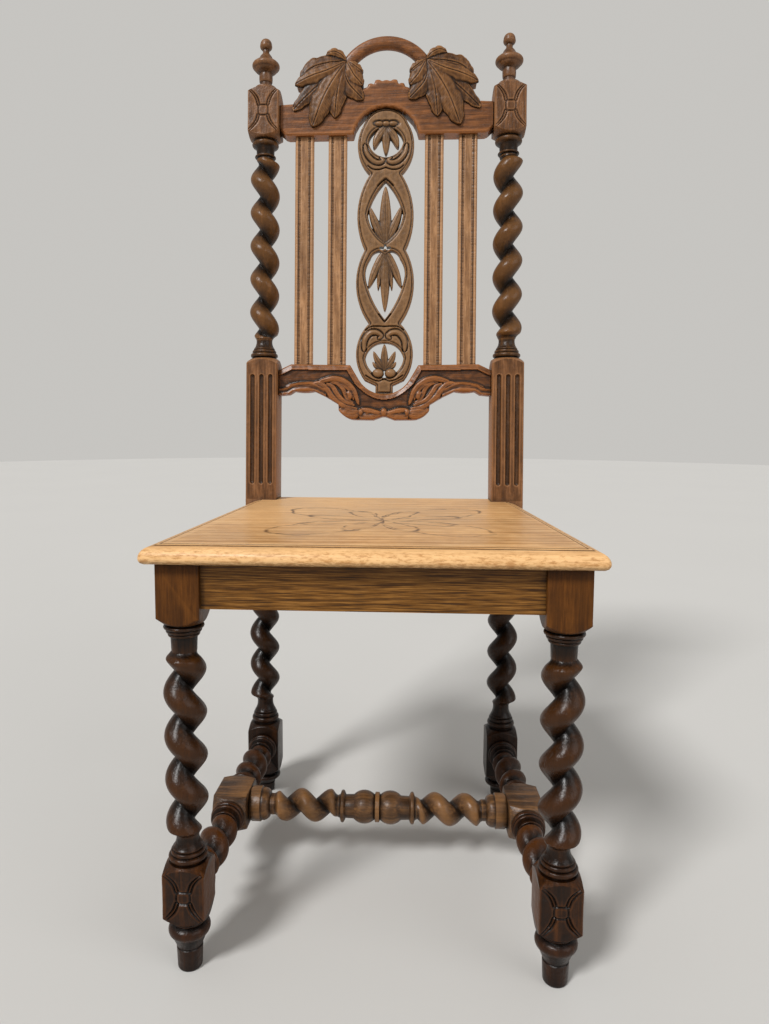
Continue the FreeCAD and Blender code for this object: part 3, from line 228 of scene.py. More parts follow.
# The seat's edge, upwards: how far in, how high, and how dark with painted shade in the quirks and under the
# nose, negative where the rounded nose is lighter with wear and a painted highlight
SEAT_SECTION = (
    (11, 0, 0.3), (5.5, 0.6, 0.3), (2, 2.4, 0.2), (0.4, 4.6, 0.12), (0, 6.6, 0.03), (0.5, 9.4, -0.1),
    (1.8, 12.2, -0.16), (3.8, 14.7, -0.2), (6.6, 16.8, -0.2), (9.6, 18.0, -0.12), (12.2, 18.4, 0),
    (12.9, 17.5, 0.6), (14.0, 17.5, 0.6), (14.4, 19.2, 0.15), (14.8, 19.4, -0.1), (17.0, 19.5, -0.1),
    (17.4, 18.8, 0.5), (18.6, 18.8, 0.5), (19.0, 19.9, 0.1), (19.8, 20, -0.08), (25, 20, 0),
)
# The seat's outline: the depth of the notches round the posts, the half widths in front of them and
# between them, and the rounding of the front corners
SEAT_NOTCH, SEAT_REAR, SEAT_INNER, SEAT_CORNER = 0.0390, 0.2015, 0.16095, 0.005

# The camera that took the photograph: its frame, its focal length and the point it aims at, all in
# pixels, the place where it stands, and its turn in radians
PHOTO_WIDTH, PHOTO_HEIGHT, FOCAL_LENGTH = 769, 1024, 740
AIM_ACROSS, AIM_DOWN = 365.5, 480.1
CAMERA_PLACE = (0.0332, FRONT_AXIS - 0.7436, 0.5986)
CAMERA_YAW, CAMERA_PITCH, CAMERA_ROLL = 0.0538, 0.091, -0.0032
SENSOR_WIDTH = 36
# Lamps: name, strength, softness and turn in degrees
LAMPS = ("key", 2.5, 14, (46, 0, -36)), ("fill", 0.6, 40, (62, 0, 55))
SOFT_LIGHT, BACKDROP_LIGHT = 0.40, 0.92


# What a user may change

def length(name, description, default):
    return bpy.props.FloatProperty(name=name, description=description, default=default, unit="LENGTH",
                                   min=0.0001, soft_max=2)


def lightness(part):
    """A colour channel from 0-255 as it is written, to the linear value that a shader takes."""
    share = part / 255
    return share / 12.92 if share <= 0.04045 else ((share + 0.055) / 1.055) ** 2.4


def colour(name, description, red, green, blue):
    return bpy.props.FloatVectorProperty(name=name, description=description, subtype="COLOR", size=3,
                                         min=0, max=1,
                                         default=(lightness(red), lightness(green), lightness(blue)))


class ChairSizes(bpy.types.PropertyGroup):
    """Sizes of the chair's pieces"""
    seat_height: length("Seat height", "From the floor to the top of the seat", 0.467)
    leg_depth: length("Leg depth", "From the front legs' axes to the rear posts'", 0.380)
    leg_block: length("Leg block", "Side of the front legs' square blocks", 0.045)
    post_side: length("Post place", "From the middle of the chair to a rear post's axis", 0.1845)
    post_block: length("Post block", "Side of the rear posts' square blocks", 0.0465)
    rake: bpy.props.FloatProperty(name="Rake", description="How far the back leans", unit="ROTATION",
                                  default=math.radians(4.5))
    ring_radius: length("Ring radius", "Radius of the turned collars", 0.0222)
    neck_radius: length("Neck radius", "Radius of the plain necks", 0.0132)
    shoulder_radius: length("Shoulder radius", "Where a block's turned shoulder starts", 0.0205)
    shoulder_drop: length("Shoulder drop", "How far a block's shoulder falls at its corners", 0.009)
    worn_edge: length("Worn edge", "Rounding of the old arrises", 0.0009)
    front_crest: length("Front crest", "Radius of the front legs' twist at its crest", 0.0224)
    front_valley: length("Front valley", "Radius of the front legs' twist in its valley", 0.0072)
    front_pitch: length("Front pitch", "Rise of the front legs' twist in one turn", 0.047)
    rear_crest: length("Rear crest", "Radius of the rear legs' twist at its crest", 0.0226)
    rear_valley: length("Rear valley", "Radius of the rear legs' twist in its valley", 0.0064)
    rear_pitch: length("Rear pitch", "Rise of the rear legs' twist in one turn", 0.049)
    post_crest: length("Post crest", "Radius of the back posts' twist at its crest", 0.0222)
    post_valley: length("Post valley", "Radius of the back posts' twist in its valley", 0.0072)
    post_pitch: length("Post pitch", "Rise of the back posts' twist in one turn", 0.0506)
    stretcher_height: length("Stretcher height", "From the floor to the stretchers' axes", 0.079)
    stretcher_block: length("Stretcher block", "Side of the side stretchers' blocks", 0.044)
    stretcher_crest: length("Stretcher crest", "Radius of the stretchers' twist at its crest", 0.0205)
    stretcher_valley: length("Stretcher valley", "Radius of the stretchers' twist in its valley", 0.0070)
    stretcher_pitch: length("Stretcher pitch", "Rise of the stretchers' twist in one turn", 0.039)
    seat_thickness: length("Seat thickness", "Thickness of the seat board", 0.020)
    finial_radius: length("Finial radius", "Radius of the finials' discs", 0.0222)
    finial_height: length("Finial height", "Height of the finials above the posts", 0.080)
    back_board: length("Back board", "Thickness of the crest rail and the lower rail", 0.024)
    splat_thickness: length("Splat thickness", "Thickness of the carved splat", 0.015)
    slat_width: length("Slat width", "Width of the back's slats", 0.028)
    slat_thickness: length("Slat thickness", "Thickness of the back's slats", 0.011)
    carving_cell: length("Carving cell", "Fineness of the carved surfaces", 0.0009)


class ChairColours(bpy.types.PropertyGroup):
    """Colours of the chair's finishes"""
    # Light colours are also wear and the painted highlight on ridges; some dark ones are painted shade in
    # hollows.
    twist_light: colour("Twist, worn", "Orange wear on the turned oak", 132, 88, 44)
    twist_mid: colour("Twist", "Main brown of the turned oak", 60, 39, 21)
    # Also the painted shade in hollows and recesses of the turned, block, stretcher, head and rail finishes.
    twist_dark: colour("Twist, hollows", "Dark stain in the hollows of the turned oak", 20, 12, 6)
    block_light: colour("Blocks, worn", "Worn edges of the square blocks", 160, 112, 72)
    block_mid: colour("Blocks", "Brown of the caps and the fluted blocks", 106, 68, 36)
    block_dark: colour("Blocks, grain", "Darker grain of the square blocks", 56, 34, 14)
    stretcher_light: colour("Stretcher, worn", "Rubbed crests of the cross stretcher", 142, 100, 58)
    stretcher_mid: colour("Stretcher", "Golden brown of the cross stretcher", 80, 53, 30)
    stretcher_dark: colour("Stretcher, hollows", "Dark hollows of the cross stretcher", 34, 22, 12)
    head_light: colour("Leg heads, worn", "Worn edges of the front legs' heads", 114, 68, 22)
    head_mid: colour("Leg heads", "Brown of the front legs' heads", 68, 36, 6)
    head_dark: colour("Leg heads, grain", "Darker grain of the front legs' heads", 34, 18, 4)
    seat_light: colour("Seat, light", "Lightest oak of the seat", 238, 192, 136)
    seat_mid: colour("Seat", "Honey oak of the seat", 220, 168, 108)
    seat_dark: colour("Seat, grain", "Darker grain of the seat", 172, 116, 62)
    seat_line: colour("Seat, star", "Scratched lines of the seat's star", 84, 52, 26)
    rail_light: colour("Rail, light", "Lightest oak of the seat rails", 150, 104, 48)
    rail_mid: colour("Rail", "Oak of the seat rails", 110, 70, 22)
    # Also the painted shade of the seat, in its quirks, under its nose and in its recesses.
    rail_dark: colour("Rail, grain", "Darker grain of the seat rails", 58, 34, 10)
    back_light: colour("Back rails, light", "Lightest oak of the crest and lower rails", 160, 100, 50)
    back_mid: colour("Back rails", "Warm oak of the crest and lower rails", 114, 68, 30)
    back_dark: colour("Back rails, grain", "Darker grain of the crest and lower rails", 54, 30, 12)
    carving_light: colour("Carving, light", "Worn edges of the carved cresting", 158, 110, 64)
    carving_mid: colour("Carving", "Brown of the carved cresting", 86, 53, 25)
    # Also the painted shade in hollows and recesses of the carving and the splat.
    carving_dark: colour("Carving, hollows", "Dark hollows of the carving", 30, 18, 8)
    splat_light: colour("Splat, light", "Lightest oak of the splat", 158, 118, 78)
    splat_mid: colour("Splat", "Golden brown of the splat", 106, 76, 46)
    # Also the painted shade in the slats' hollows and recesses.
    splat_dark: colour("Splat, grain", "Darker grain of the splat", 60, 38, 18)
    slat_light: colour("Slats, light", "Lightest oak of the slats", 196, 150, 108)
    slat_mid: colour("Slats", "Brown of the slats", 152, 110, 72)
    slat_dark: colour("Slats, grain", "Darker grain of the slats", 102, 68, 40)
    plain_light: colour("Hidden wood, light", "Raw wood of the braces and dowels", 150, 118, 80)
    plain_mid: colour("Hidden wood", "Raw wood of the braces and dowels", 150, 118, 80)
    # Also the painted shade in the raw wood's recesses.
    plain_dark: colour("Hidden wood, grain", "Darker grain of the raw wood", 104, 76, 48)
    steel: colour("Screws", "Dull steel of the screws", 120, 118, 112)
    floor: colour("Floor", "Pale studio floor", 206, 204, 200)


# Bench work: small helpers around Blender's own modelling operators

def deselect():
    if bpy.context.mode != "OBJECT":
        bpy.ops.object.mode_set(mode="OBJECT")
    bpy.ops.object.select_all(action="DESELECT")


def take(*pieces):
    """Select these pieces alone, the first of them active."""
    deselect()
    for piece in pieces:
        piece.select_set(True)
    bpy.context.view_layer.objects.active = pieces[0]


@contextlib.contextmanager
def editing(piece, whole=True):
    """Edit mode on one piece, all of it selected or, if not whole, what was selected last."""
    take(piece)
    bpy.ops.object.mode_set(mode="EDIT")
    if whole:
        bpy.ops.mesh.select_all(action="SELECT")
    yield
    bpy.ops.object.mode_set(mode="OBJECT")


def named(piece, name):
    piece.name = piece.data.name = name
    return piece


def settle(piece):
    """Put a piece's place, turn and scale into its mesh."""
    take(piece)
    bpy.ops.object.transform_apply(location=True, rotation=True, scale=True)
    return piece


def refine(piece, kind, **settings):
    """Give a piece a modifier and apply it."""
    modifier = piece.modifiers.new(kind.title(), kind)
    for name, value in settings.items():
        setattr(modifier, name, value)
    take(piece)
    bpy.ops.object.modifier_apply(modifier=modifier.name)
    return piece


def closed(piece, distance=0.01 * MM):
    """Merge the doubles of a piece and turn its faces outwards."""
    with editing(piece):
        bpy.ops.mesh.remove_doubles(threshold=distance)
        bpy.ops.mesh.normals_make_consistent(inside=False)
    return piece


def smoothed(piece, angle=38):
    take(piece)
    bpy.ops.object.shade_smooth_by_angle(angle=math.radians(angle))
    return piece


def coated(piece, material):
    """Give a piece or a part of one this finish, unless it has its own."""
    if not piece.data.materials:
        piece.data.materials.append(material)
    return piece


def joined(name, material, *parts):
    """Join parts into one piece, those without a finish of their own in this one."""
    take(*(coated(part, material) for part in parts))
    bpy.ops.object.join()
    return named(parts[0], name)


def copied(piece, name):
    made = piece.copy()
    made.data = piece.data.copy()
    bpy.context.scene.collection.objects.link(made)
    return named(made, name)


def other_side(piece, name):
    """The mirrored copy of a settled piece on the chair's left."""
    made = copied(piece, name)
    with editing(made):
        bpy.ops.transform.resize(value=(-1, 1, 1), center_override=(0, 0, 0))
        bpy.ops.mesh.normals_make_consistent(inside=False)
    return made


def moved(piece, across=0.0, back=0.0, up=0.0, turn=(0, 0, 0)):
    piece.rotation_euler = Euler(turn)
    piece.location = (across, back, up)
    return settle(piece)


def on_the_rake(piece, sizes, across=0.0):
    """Lean a piece, modelled upright from the seat's height, with the back."""
    return moved(piece, across, FRONT_AXIS + sizes.leg_depth, sizes.seat_height, (-sizes.rake, 0, 0))


def places(piece):
    """A mesh's points as an array of rows."""
    flat = np.empty(len(piece.data.vertices) * 3, np.float64)
    piece.data.vertices.foreach_get("co", flat)
    return flat.reshape(-1, 3)


def put(piece, points):
    piece.data.vertices.foreach_set("co", np.ascontiguousarray(points, np.float64).ravel())
    piece.data.update()
    return piece


def hollows(piece):
    """The attribute that tells a finish how many millimetres deep in a hollow each point lies."""
    attributes = piece.data.attributes
    return attributes.get("hollow") or attributes.new("hollow", "FLOAT", "POINT")


def drawn_line(name, points):
    """A line of edges drawn through points, one extruded vertex after another."""
    deselect()
    bpy.ops.mesh.primitive_plane_add(size=MM, location=points[0])
    line = settle(named(bpy.context.object, name))
    with editing(line):
        bpy.ops.mesh.select_mode(type="VERT")
        bpy.ops.mesh.merge(type="CENTER")
        for start, end in zip(points, points[1:]):
            step = Vector(end) - Vector(start)
            bpy.ops.mesh.extrude_vertices_move(TRANSFORM_OT_translate={"value": step})
    return line


def lathed(name, outline, steps=64):
    """A turning about Z from its outline of radius and height, upwards."""
    line = drawn_line(name, [(radius, 0, height) for radius, height in outline])
    refine(line, "SCREW", angle=FULL_TURN, screw_offset=0, axis="Z", steps=steps, render_steps=steps,
           use_merge_vertices=True, merge_threshold=0.001 * MM)
    return closed(line)


def arc(start, end, swell, steps=7):
    """Points of the arc from start to end that swells to the right of its way, without the start."""
    (x0, z0), (x1, z1) = start, end
    chord = math.hypot(x1 - x0, z1 - z0)
    if abs(swell) < 1e-7 or chord < 1e-7:
        return [end]
    radius = (chord ** 2 / 4 + swell ** 2) / (2 * abs(swell))
    half = math.asin(min(1, chord / 2 / radius))
    if abs(swell) > chord / 2:
        half = math.pi - half
    way = 1 if swell > 0 else -1
    out = ((z1 - z0) / chord * way, -(x1 - x0) / chord * way)
    middle = ((x0 + x1) / 2, (z0 + z1) / 2)
    centre = (middle[0] + out[0] * (abs(swell) - radius), middle[1] + out[1] * (abs(swell) - radius))
    first = math.atan2(z0 - centre[1], x0 - centre[0])
    sweep = 2 * half * way
    return [(centre[0] + radius * math.cos(first + sweep * step / steps),
             centre[1] + radius * math.sin(first + sweep * step / steps)) for step in range(1, steps)] + [end]


def moulding(shares, radius, foot, height, falling=False):
    """A turning's outline in metres from its shares; falling hangs it upside down from its top."""
    corners = [(radius * across, height * up, radius * swell) for across, up, swell in shares]
    points = [corners[0][:2]]
    for start, end in zip(corners, corners[1:]):
        points += arc(start[:2], end[:2], start[2])
    if falling:
        points = [(across, height - up) for across, up in reversed(points)]
    return [(across, foot + up) for across, up in points]


def turning(name, shares, radius, foot, height, falling=False, steps=64):
    """A solid turning, closed by a flat face at each end."""
    outline = moulding(shares, radius, foot, height, falling)
    outer = [point for point in outline if point[0] > 1e-6]
    return noted(lathed(name, [(0, outline[0][1])] + outer + [(0, outline[-1][1])], steps), rounds=3)


def twisted(name, crest, valley, pitch, foot, top, crest_height, neck, run_out=0.008):
    """A barley twist about Z: full round turns that meet in a sharp valley, run out at both ends."""
    steps, fullness = 22, 0.6
    start = crest_height - pitch / 2
    start -= math.ceil((start + pitch - foot) / pitch) * pitch
    turns = math.ceil((top - start) / pitch)
    outline = []
    for step in range(steps + 1):
        share = math.sin(QUARTER_TURN * (2 * step / steps - 1))
        rise = (1 - share * share) ** fullness
        outline.append((valley + (crest - valley) * rise, 0, start + pitch * step / steps))
    line = refine(drawn_line(name, outline), "SCREW", angle=FULL_TURN, screw_offset=pitch, iterations=turns,
                  axis="Z", steps=64, render_steps=64, use_merge_vertices=False)
    closed(line)
    for height, clear in ((foot, "clear_inner"), (top, "clear_outer")):
        with editing(line):
            bpy.ops.mesh.bisect(plane_co=(0, 0, height), plane_no=(0, 0, 1), use_fill=True, **{clear: True})
    points = places(line)
    near = ease(np.minimum(points[:, 2] - foot, top - points[:, 2]), 0, run_out)
    radius = np.hypot(points[:, 0], points[:, 1])
    wanted = neck + (radius - neck) * near
    points[:, :2] *= (wanted / np.maximum(radius, 1e-6))[:, None]
    return noted(closed(put(line, points), 0.001 * MM))


def noted(piece, rounds=14, reach=3.2 * MM):
    """Note on each point how deep it lies in a hollow, or how high on a ridge, for the finishes' painted
    shade, wear and painted highlights.
    """
    mesh = piece.data
    points = places(piece)
    count = len(points)
    pairs = np.empty(len(mesh.edges) * 2, np.int32)
    mesh.edges.foreach_get("vertices", pairs)
    first, second = pairs.reshape(-1, 2).T
    near = np.linalg.norm(points[first] - points[second], axis=1) < reach
    first, second = first[near], second[near]
    others = (np.bincount(first, minlength=count) + np.bincount(second, minlength=count))[:, None]
    calm = points.copy()
    for unused in range(rounds):
        total = np.stack([np.bincount(first, calm[second, axis], count)
                          + np.bincount(second, calm[first, axis], count) for axis in range(3)], axis=1)
        calm = np.where(others > 0, (calm + total / np.maximum(others, 1)) / 2, calm)
    normals = np.empty(count * 3)
    mesh.vertices.foreach_get("normal", normals)
    depth = ((calm - points) * normals.reshape(-1, 3)).sum(axis=1) / MM
    hollows(piece).data.foreach_set("value", np.ascontiguousarray(depth, np.float32))
    return piece


def squared(name, half, foot, top, sizes, upper=True, lower=True, face=None):
    """A square block with its ends turned off at the corners, and its front carved or its arrises worn."""
    if face:
        block = cut_board(name, upright(half, foot, top), ((-half, foot), (half, top)), -half, half,
                          sizes.carving_cell)
        carve(block, -half, lambda x, z: face(x, z) + round_over(half - np.abs(x), 1.4 * MM))
    else:
        deselect()
        bpy.ops.mesh.primitive_cube_add(size=1, location=(0, 0, (foot + top) / 2))
        block = named(bpy.context.object, name)
        block.scale = (half * 2, half * 2, top - foot)
        settle(block)
    narrow = sizes.shoulder_radius
    corner = half * math.sqrt(2)
    wide = corner * 1.2
    fall = sizes.shoulder_drop * (wide - narrow) / (corner - narrow)
    below = [(narrow - MM, foot - MM), (narrow, foot), (wide, foot + fall)] if lower else [(wide, foot - MM)]
    above = [(wide, top - fall), (narrow, top), (narrow - MM, top + MM)] if upper else [(wide, top + MM)]
    outline = [(0, foot - MM)] + below + above + [(0, top + MM)]
    envelope = lathed(f"{name}_envelope", outline, steps=96)
    refine(block, "BOOLEAN", object=envelope, operation="INTERSECT", solver="EXACT")
    bpy.data.objects.remove(envelope)
    return noted(block) if face else worn(block, sizes.worn_edge)


def worn(piece, width, angle=28, segments=2):
    """Round the arrises of a piece as use has."""
    refine(piece, "BEVEL", width=width, segments=segments, limit_method="ANGLE",
           angle_limit=math.radians(angle), use_clamp_overlap=True, miter_outer="MITER_SHARP")
    return closed(piece, 0.001 * MM)


# Carving: boards cut from a fine grid, and the shape of their surface

def outline_of(corners):
    """A closed outline from corners of across, up and swell."""
    points = []
    for start, end in zip(corners, corners[1:] + corners[:1]):
        points += arc(start[:2], end[:2], start[2], 12)
    return points


def both_halves(right, bottom_swell=0.0):
    """The corners in metres all round from those of the right half in millimetres.

    They run anticlockwise from the bottom's middle.
    """
    swells = [bottom_swell] + [corner[2] for corner in right[:-1]]
    left = [(-x, z, swell) for (x, z, unused), swell in zip(right[::-1], swells[::-1])]
    sides = [side[:-1] if abs(side[-1][0]) < 1e-9 else side for side in (list(right), left)]
    return in_metres(sides[0] + sides[1])


def inside(outline, x, z):
    """How far each point lies inside a closed outline, negative outside."""
    near = np.full(x.shape, 1e9)
    within = np.zeros(x.shape, bool)
    for (x0, z0), (x1, z1) in zip(outline, outline[1:] + outline[:1]):
        dx, dz = x1 - x0, z1 - z0
        size = dx * dx + dz * dz
        if size < 1e-14:
            continue
        share = np.clip(((x - x0) * dx + (z - z0) * dz) / size, 0, 1)
        near = np.minimum(near, (x - x0 - share * dx) ** 2 + (z - z0 - share * dz) ** 2)
        if abs(dz) > 1e-12:
            crosses = ((z0 > z) != (z1 > z)) & (x < x0 + (z - z0) * dx / dz)
            within ^= crosses
    return np.where(within, 1, -1) * np.sqrt(near)


def along(stroke, x, z):
    """For each point, how far along a stroke its nearest place is, and how far off it, left positive."""
    stroke = np.asarray(stroke, float)
    steps = np.diff(stroke, axis=0)
    lengths = np.hypot(steps[:, 0], steps[:, 1])
    total = lengths.sum()
    best = np.full(x.shape, 1e9)
    share_at = np.zeros(x.shape)
    off = np.zeros(x.shape)
    run = 0.0
    for (x0, z0), (dx, dz), span in zip(stroke, steps, lengths):
        share = np.clip(((x - x0) * dx + (z - z0) * dz) / (span * span), 0, 1)
        ox, oz = x - x0 - share * dx, z - z0 - share * dz
        distance = np.hypot(ox, oz)
        closer = distance < best
        best = np.where(closer, distance, best)
        share_at = np.where(closer, (run + share * span) / total, share_at)
        off = np.where(closer, distance * np.sign(dx * oz - dz * ox + 1e-12), off)
        run += span
    return share_at, off


def curved(points, steps=6):
    """A smooth stroke through a few points."""
    points = [np.array(point, float) for point in points]
    ends = [2 * points[0] - points[1]] + points + [2 * points[-1] - points[-2]]
    made = [tuple(points[0])]
    for a, b, c, d in zip(ends, ends[1:], ends[2:], ends[3:]):
        for step in range(1, steps + 1):
            t = step / steps
            made.append(tuple(0.5 * (2 * b + (c - a) * t + (2 * a - 5 * b + 4 * c - d) * t * t
                                     + (3 * b - a - 3 * c + d) * t ** 3)))
    return made


def lobe(stroke, width, x, z, blunt=0.55, foot=0.25, teeth=0.0):
    """For each point, how far it lies inside a leaf's lobe, its place along and off the lobe's vein,
    and half the width there.
    """
    share, off = along(stroke, x, z)
    body = np.clip(share, 0, 1) ** foot * np.clip(1 - share, 0, 1) ** blunt
    peak = (foot / (foot + blunt)) ** foot * (blunt / (foot + blunt)) ** blunt
    notch = share * 3.5 * FULL_TURN
    half = width / 2 * body / peak * (1 + teeth * np.sin(notch + 0.8 * np.sin(notch)))
    return half - np.abs(off), share, off, np.maximum(half, 1e-5)


def ease(value, low, high):
    """From 0 at the low value to 1 at the high one, with a soft start and end."""
    share = np.clip((value - low) / (high - low), 0, 1)
    return share * share * (3 - 2 * share)


def dome(share):
    """The height of a round dome: 1 in its middle, 0 from a share of 1 on."""
    return np.sqrt(np.clip(1 - share ** 2, 0, 1))


def groove(off, width, depth):
    """A V groove about a line: how deep each point at that distance lies."""
    return depth * np.clip(1 - np.abs(off) / width, 0, 1)


def ridge(off, width, height):
    return height * np.clip(1 - (off / width) ** 2, 0, 1)


def round_over(inset, radius):
    """How deep a rounded edge lies at a distance in from it."""
    return radius * (1 - dome(np.clip(1 - inset / radius, 0, 1)))


def upright(half, low, high):
    """How far inside an upright rectangle a point lies, as a function."""
    return lambda x, z: np.minimum(half - np.abs(x), np.minimum(z - low, high - z))


def crossed(half, middle, reach):
    """The relief of the carved cross: four double grooves that meet at a small raised boss."""
    arms = [[(x * half, z * reach) for x, z in curved(points)] for points in (
        ((0.92, 0.82), (0.64, 0.66), (0.42, 0.46), (0.30, 0.22)),
        ((0.94, -0.80), (0.66, -0.62), (0.43, -0.42), (0.31, -0.20)))]

    def shape(x, z):
        side, up = np.abs(x), z - middle
        depth = np.zeros(x.shape)
        for arm in arms:
            share, off = along(arm, side, up)
            wide = 0.40 + 0.60 * ease(share, 0, 0.7)
            for shift in (-1.6 * MM, 1.6 * MM):
                beside = (off - shift * (0.6 + 0.4 * wide)) / wide
                depth = np.maximum(depth, groove(beside, 1.8 * MM, 2.3 * MM) * wide)
        ring = ((side / (0.32 * half)) ** 4 + (up / (0.20 * reach)) ** 4) ** 0.25
        depth = np.maximum(depth, groove((ring - 1) * 0.26 * half, 1.3 * MM, 1.7 * MM))
        petals = ease(np.abs(np.abs(up) / reach - 0.62), 0.10, 0.30)
        return depth + 0.5 * MM * petals * ease(side / half, 0.2, 0.6)

    return shape


def fluted(x, z):
    """The relief of three long flutes with round ends."""
    beyond = np.maximum(np.maximum(FLUTE_LOW - z, z - FLUTE_HIGH), 0)
    return np.maximum.reduce([FLUTE_DEPTH * dome(np.hypot(x - across, beyond) / FLUTE_REACH)
                              for across in (-FLUTE_SPACING, 0, FLUTE_SPACING)])


def quads(board):
    """The corners of a grid's faces, four to a row."""
    corners = np.empty(len(board.data.loops), np.int32)
    board.data.loops.foreach_get("vertex_index", corners)
    return corners.reshape(-1, 4)


def cut_board(name, edge, field, front, back, cell):
    """A board that faces the front, from a fine grid trimmed to the line where edge is zero."""
    low, high = field
    width, height = high[0] - low[0], high[1] - low[1]
    deselect()
    bpy.ops.mesh.primitive_grid_add(
        x_subdivisions=math.ceil(width / cell), y_subdivisions=math.ceil(height / cell), size=1,
        location=((low[0] + high[0]) / 2, front, (low[1] + high[1]) / 2), rotation=(QUARTER_TURN, 0, 0))
    board = named(bpy.context.object, name)
    board.scale = (width, height, 1)
    points = places(settle(board))
    outside = edge(points[:, 0], points[:, 2])[quads(board)].mean(axis=1) < 0
    with editing(board):
        bpy.ops.mesh.select_mode(type="FACE")
        bpy.ops.mesh.select_all(action="DESELECT")
    board.data.polygons.foreach_set("select", outside)
    with editing(board, whole=False):
        bpy.ops.mesh.delete(type="FACE")
        bpy.ops.mesh.select_mode(type="VERT")
    draw_to_edge(board, edge, cell)
    return refine(board, "SOLIDIFY", thickness=back - front, offset=-1, use_rim=True)


def draw_to_edge(board, edge, cell):
    """Move the rim of a trimmed grid onto the line where edge is zero, down the slope of edge."""
    points, faces = places(board), quads(board)
    sides = np.sort(np.concatenate([faces[:, [corner, (corner + 1) % 4]] for corner in range(4)]), axis=1)
    kinds, counts = np.unique(sides, axis=0, return_counts=True)
    rim = np.unique(kinds[counts == 1])
    step = cell * 0.05
    for unused in range(3):
        x, z = points[rim, 0], points[rim, 2]
        slope_x = (edge(x + step, z) - edge(x - step, z)) / (2 * step)
        slope_z = (edge(x, z + step) - edge(x, z - step)) / (2 * step)
        steep = np.maximum(slope_x ** 2 + slope_z ** 2, 0.25)
        shift = np.clip(edge(x, z), -cell, cell) / steep * 0.9
        points[rim, 0] -= shift * slope_x
        points[rim, 2] -= shift * slope_z
    put(board, points)


def carve(board, front, shape, painted_depth_shading=0.0, level=3 * MM):
    """Sink the front of a board by the depth that shape gives, negative where it stands proud.

    The share of painted shading darkens what lies below the level with painted shade and lightens what stands
    above it with a painted highlight, by so much a millimetre.
    """
    points = places(board)
    face = np.abs(points[:, 1] - front) < 1e-6
    depth = shape(points[face, 0], points[face, 2])
    points[face, 1] = front + depth
    notes = hollows(noted(put(board, points))).data
    found = np.empty(len(points), np.float32)
    notes.foreach_get("value", found)
    # Painted shade below the level and a painted highlight above it, noted with the hollows for the finish.
    found[face] += painted_depth_shading * (depth - level) / MM
    notes.foreach_set("value", found)
    return board


def in_metres(corners):
    return [tuple(part * MM for part in corner) for corner in corners]


def relief(strokes, x, z, blunt=0.5, foot=0.3, vein=0.9, vein_depth=0.5, teeth=0.0):
    """The height of rounded lobes over their ground, each split by its vein, and how far inside they are."""
    height = np.zeros(x.shape)
    reach = np.full(x.shape, -1.0)
    for points, width, rise in strokes:
        margin, share, off, half = lobe(curved(in_metres(points)), width * MM, x, z, blunt, foot, teeth)
        rounded = dome(off / half) * (0.72 + 0.28 * ease(share, 0, 0.35)) * (1 - 0.3 * ease(share, 0.75, 1))
        made = rise * MM * rounded - groove(off, vein * MM, vein_depth * MM)
        made += rise * 0.03 * MM * np.cos(off / half * 3 * math.pi)
        height = np.maximum(height, np.where(margin > 0, made, 0))
        reach = np.maximum(reach, margin)
    return height, reach


def tooled(x, z, size, depth):
    """The uneven facets that a gouge leaves, about so many millimetres apart."""
    step = FULL_TURN / (size * MM)
    across = np.sin(x * step + 1.7 * np.sin(z * step * 0.61))
    return depth * MM * across * np.sin(z * step * 0.83 + 1.4 * np.sin(x * step * 0.47))


def hatching(x, z, turn, spacing, depth):
    """Fine cuts across the grain of a leaf."""
    way = x * math.cos(turn) + z * math.sin(turn)
    return depth * MM * (0.5 + 0.5 * np.sin(way / (spacing * MM) * FULL_TURN))


# Finishes

def node(tree, kind, links=(), **settings):
    """A shader node with its settings or plain socket values, and links from sockets into it."""
    made = tree.nodes.new(kind)
    for name, value in settings.items():
        if hasattr(made, name):
            setattr(made, name, value)
        else:
            made.inputs[name.replace("_", " ").title()].default_value = value
    for source, socket in links:
        tree.links.new(source, made.inputs[socket])
    return made


def ramp(tree, source, stops):
    made = node(tree, "ShaderNodeValToRGB", [(source, "Fac")])
    elements = made.color_ramp.elements
    while len(elements) < len(stops):
        elements.new(0.5)
    for element, (place, tone) in zip(elements, stops):
        element.position = place
        element.color = (*tone, 1) if hasattr(tone, "__len__") else (tone, tone, tone, 1)
    return made.outputs["Color"]


def mixed(tree, share, first, second, kind="MIX"):
    """One colour mixed with another by a socket or a plain share; each is a socket or a colour."""
    made = node(tree, "ShaderNodeMix", data_type="RGBA", blend_type=kind)
    for value, socket in ((share, 0), (first, 6), (second, 7)):
        if isinstance(value, bpy.types.NodeSocket):
            tree.links.new(value, made.inputs[socket])
        else:
            made.inputs[socket].default_value = (*value, 1) if socket else value
    return made.outputs[2]


def reckoned(tree, operation, first, second=None, clamp=False):
    made = node(tree, "ShaderNodeMath", operation=operation, use_clamp=clamp)
    for index, value in enumerate((first, second)):
        if isinstance(value, bpy.types.NodeSocket):
            tree.links.new(value, made.inputs[index])
        elif value is not None:
            made.inputs[index].default_value = value
    return made.outputs[0]


def times(tree, first, second, clamp=False):
    return reckoned(tree, "MULTIPLY", first, second, clamp)


def plus(tree, first, second):
    return reckoned(tree, "ADD", first, second)


def noise(tree, place, **settings):
    return node(tree, "ShaderNodeTexNoise", [(place, "Vector")], **settings).outputs["Fac"]


def mapped(tree, place, **settings):
    return node(tree, "ShaderNodeMapping", [(place, "Vector")], **settings).outputs[0]


def blank_material(name):
    """A material with no nodes but the one that gives the place on the object: it, its tree, the place."""
    material = bpy.data.materials.new(name)
    material.use_nodes = True
    tree = material.node_tree
    tree.nodes.clear()
    return material, tree, node(tree, "ShaderNodeTexCoord").outputs["Object"]


def show(tree, links, **settings):
    """Put a shader with these links and settings on the surface."""
    shader = node(tree, "ShaderNodeBsdfPrincipled", links, **settings)
    node(tree, "ShaderNodeOutputMaterial", [(shader.outputs[0], "Surface")])
    return shader


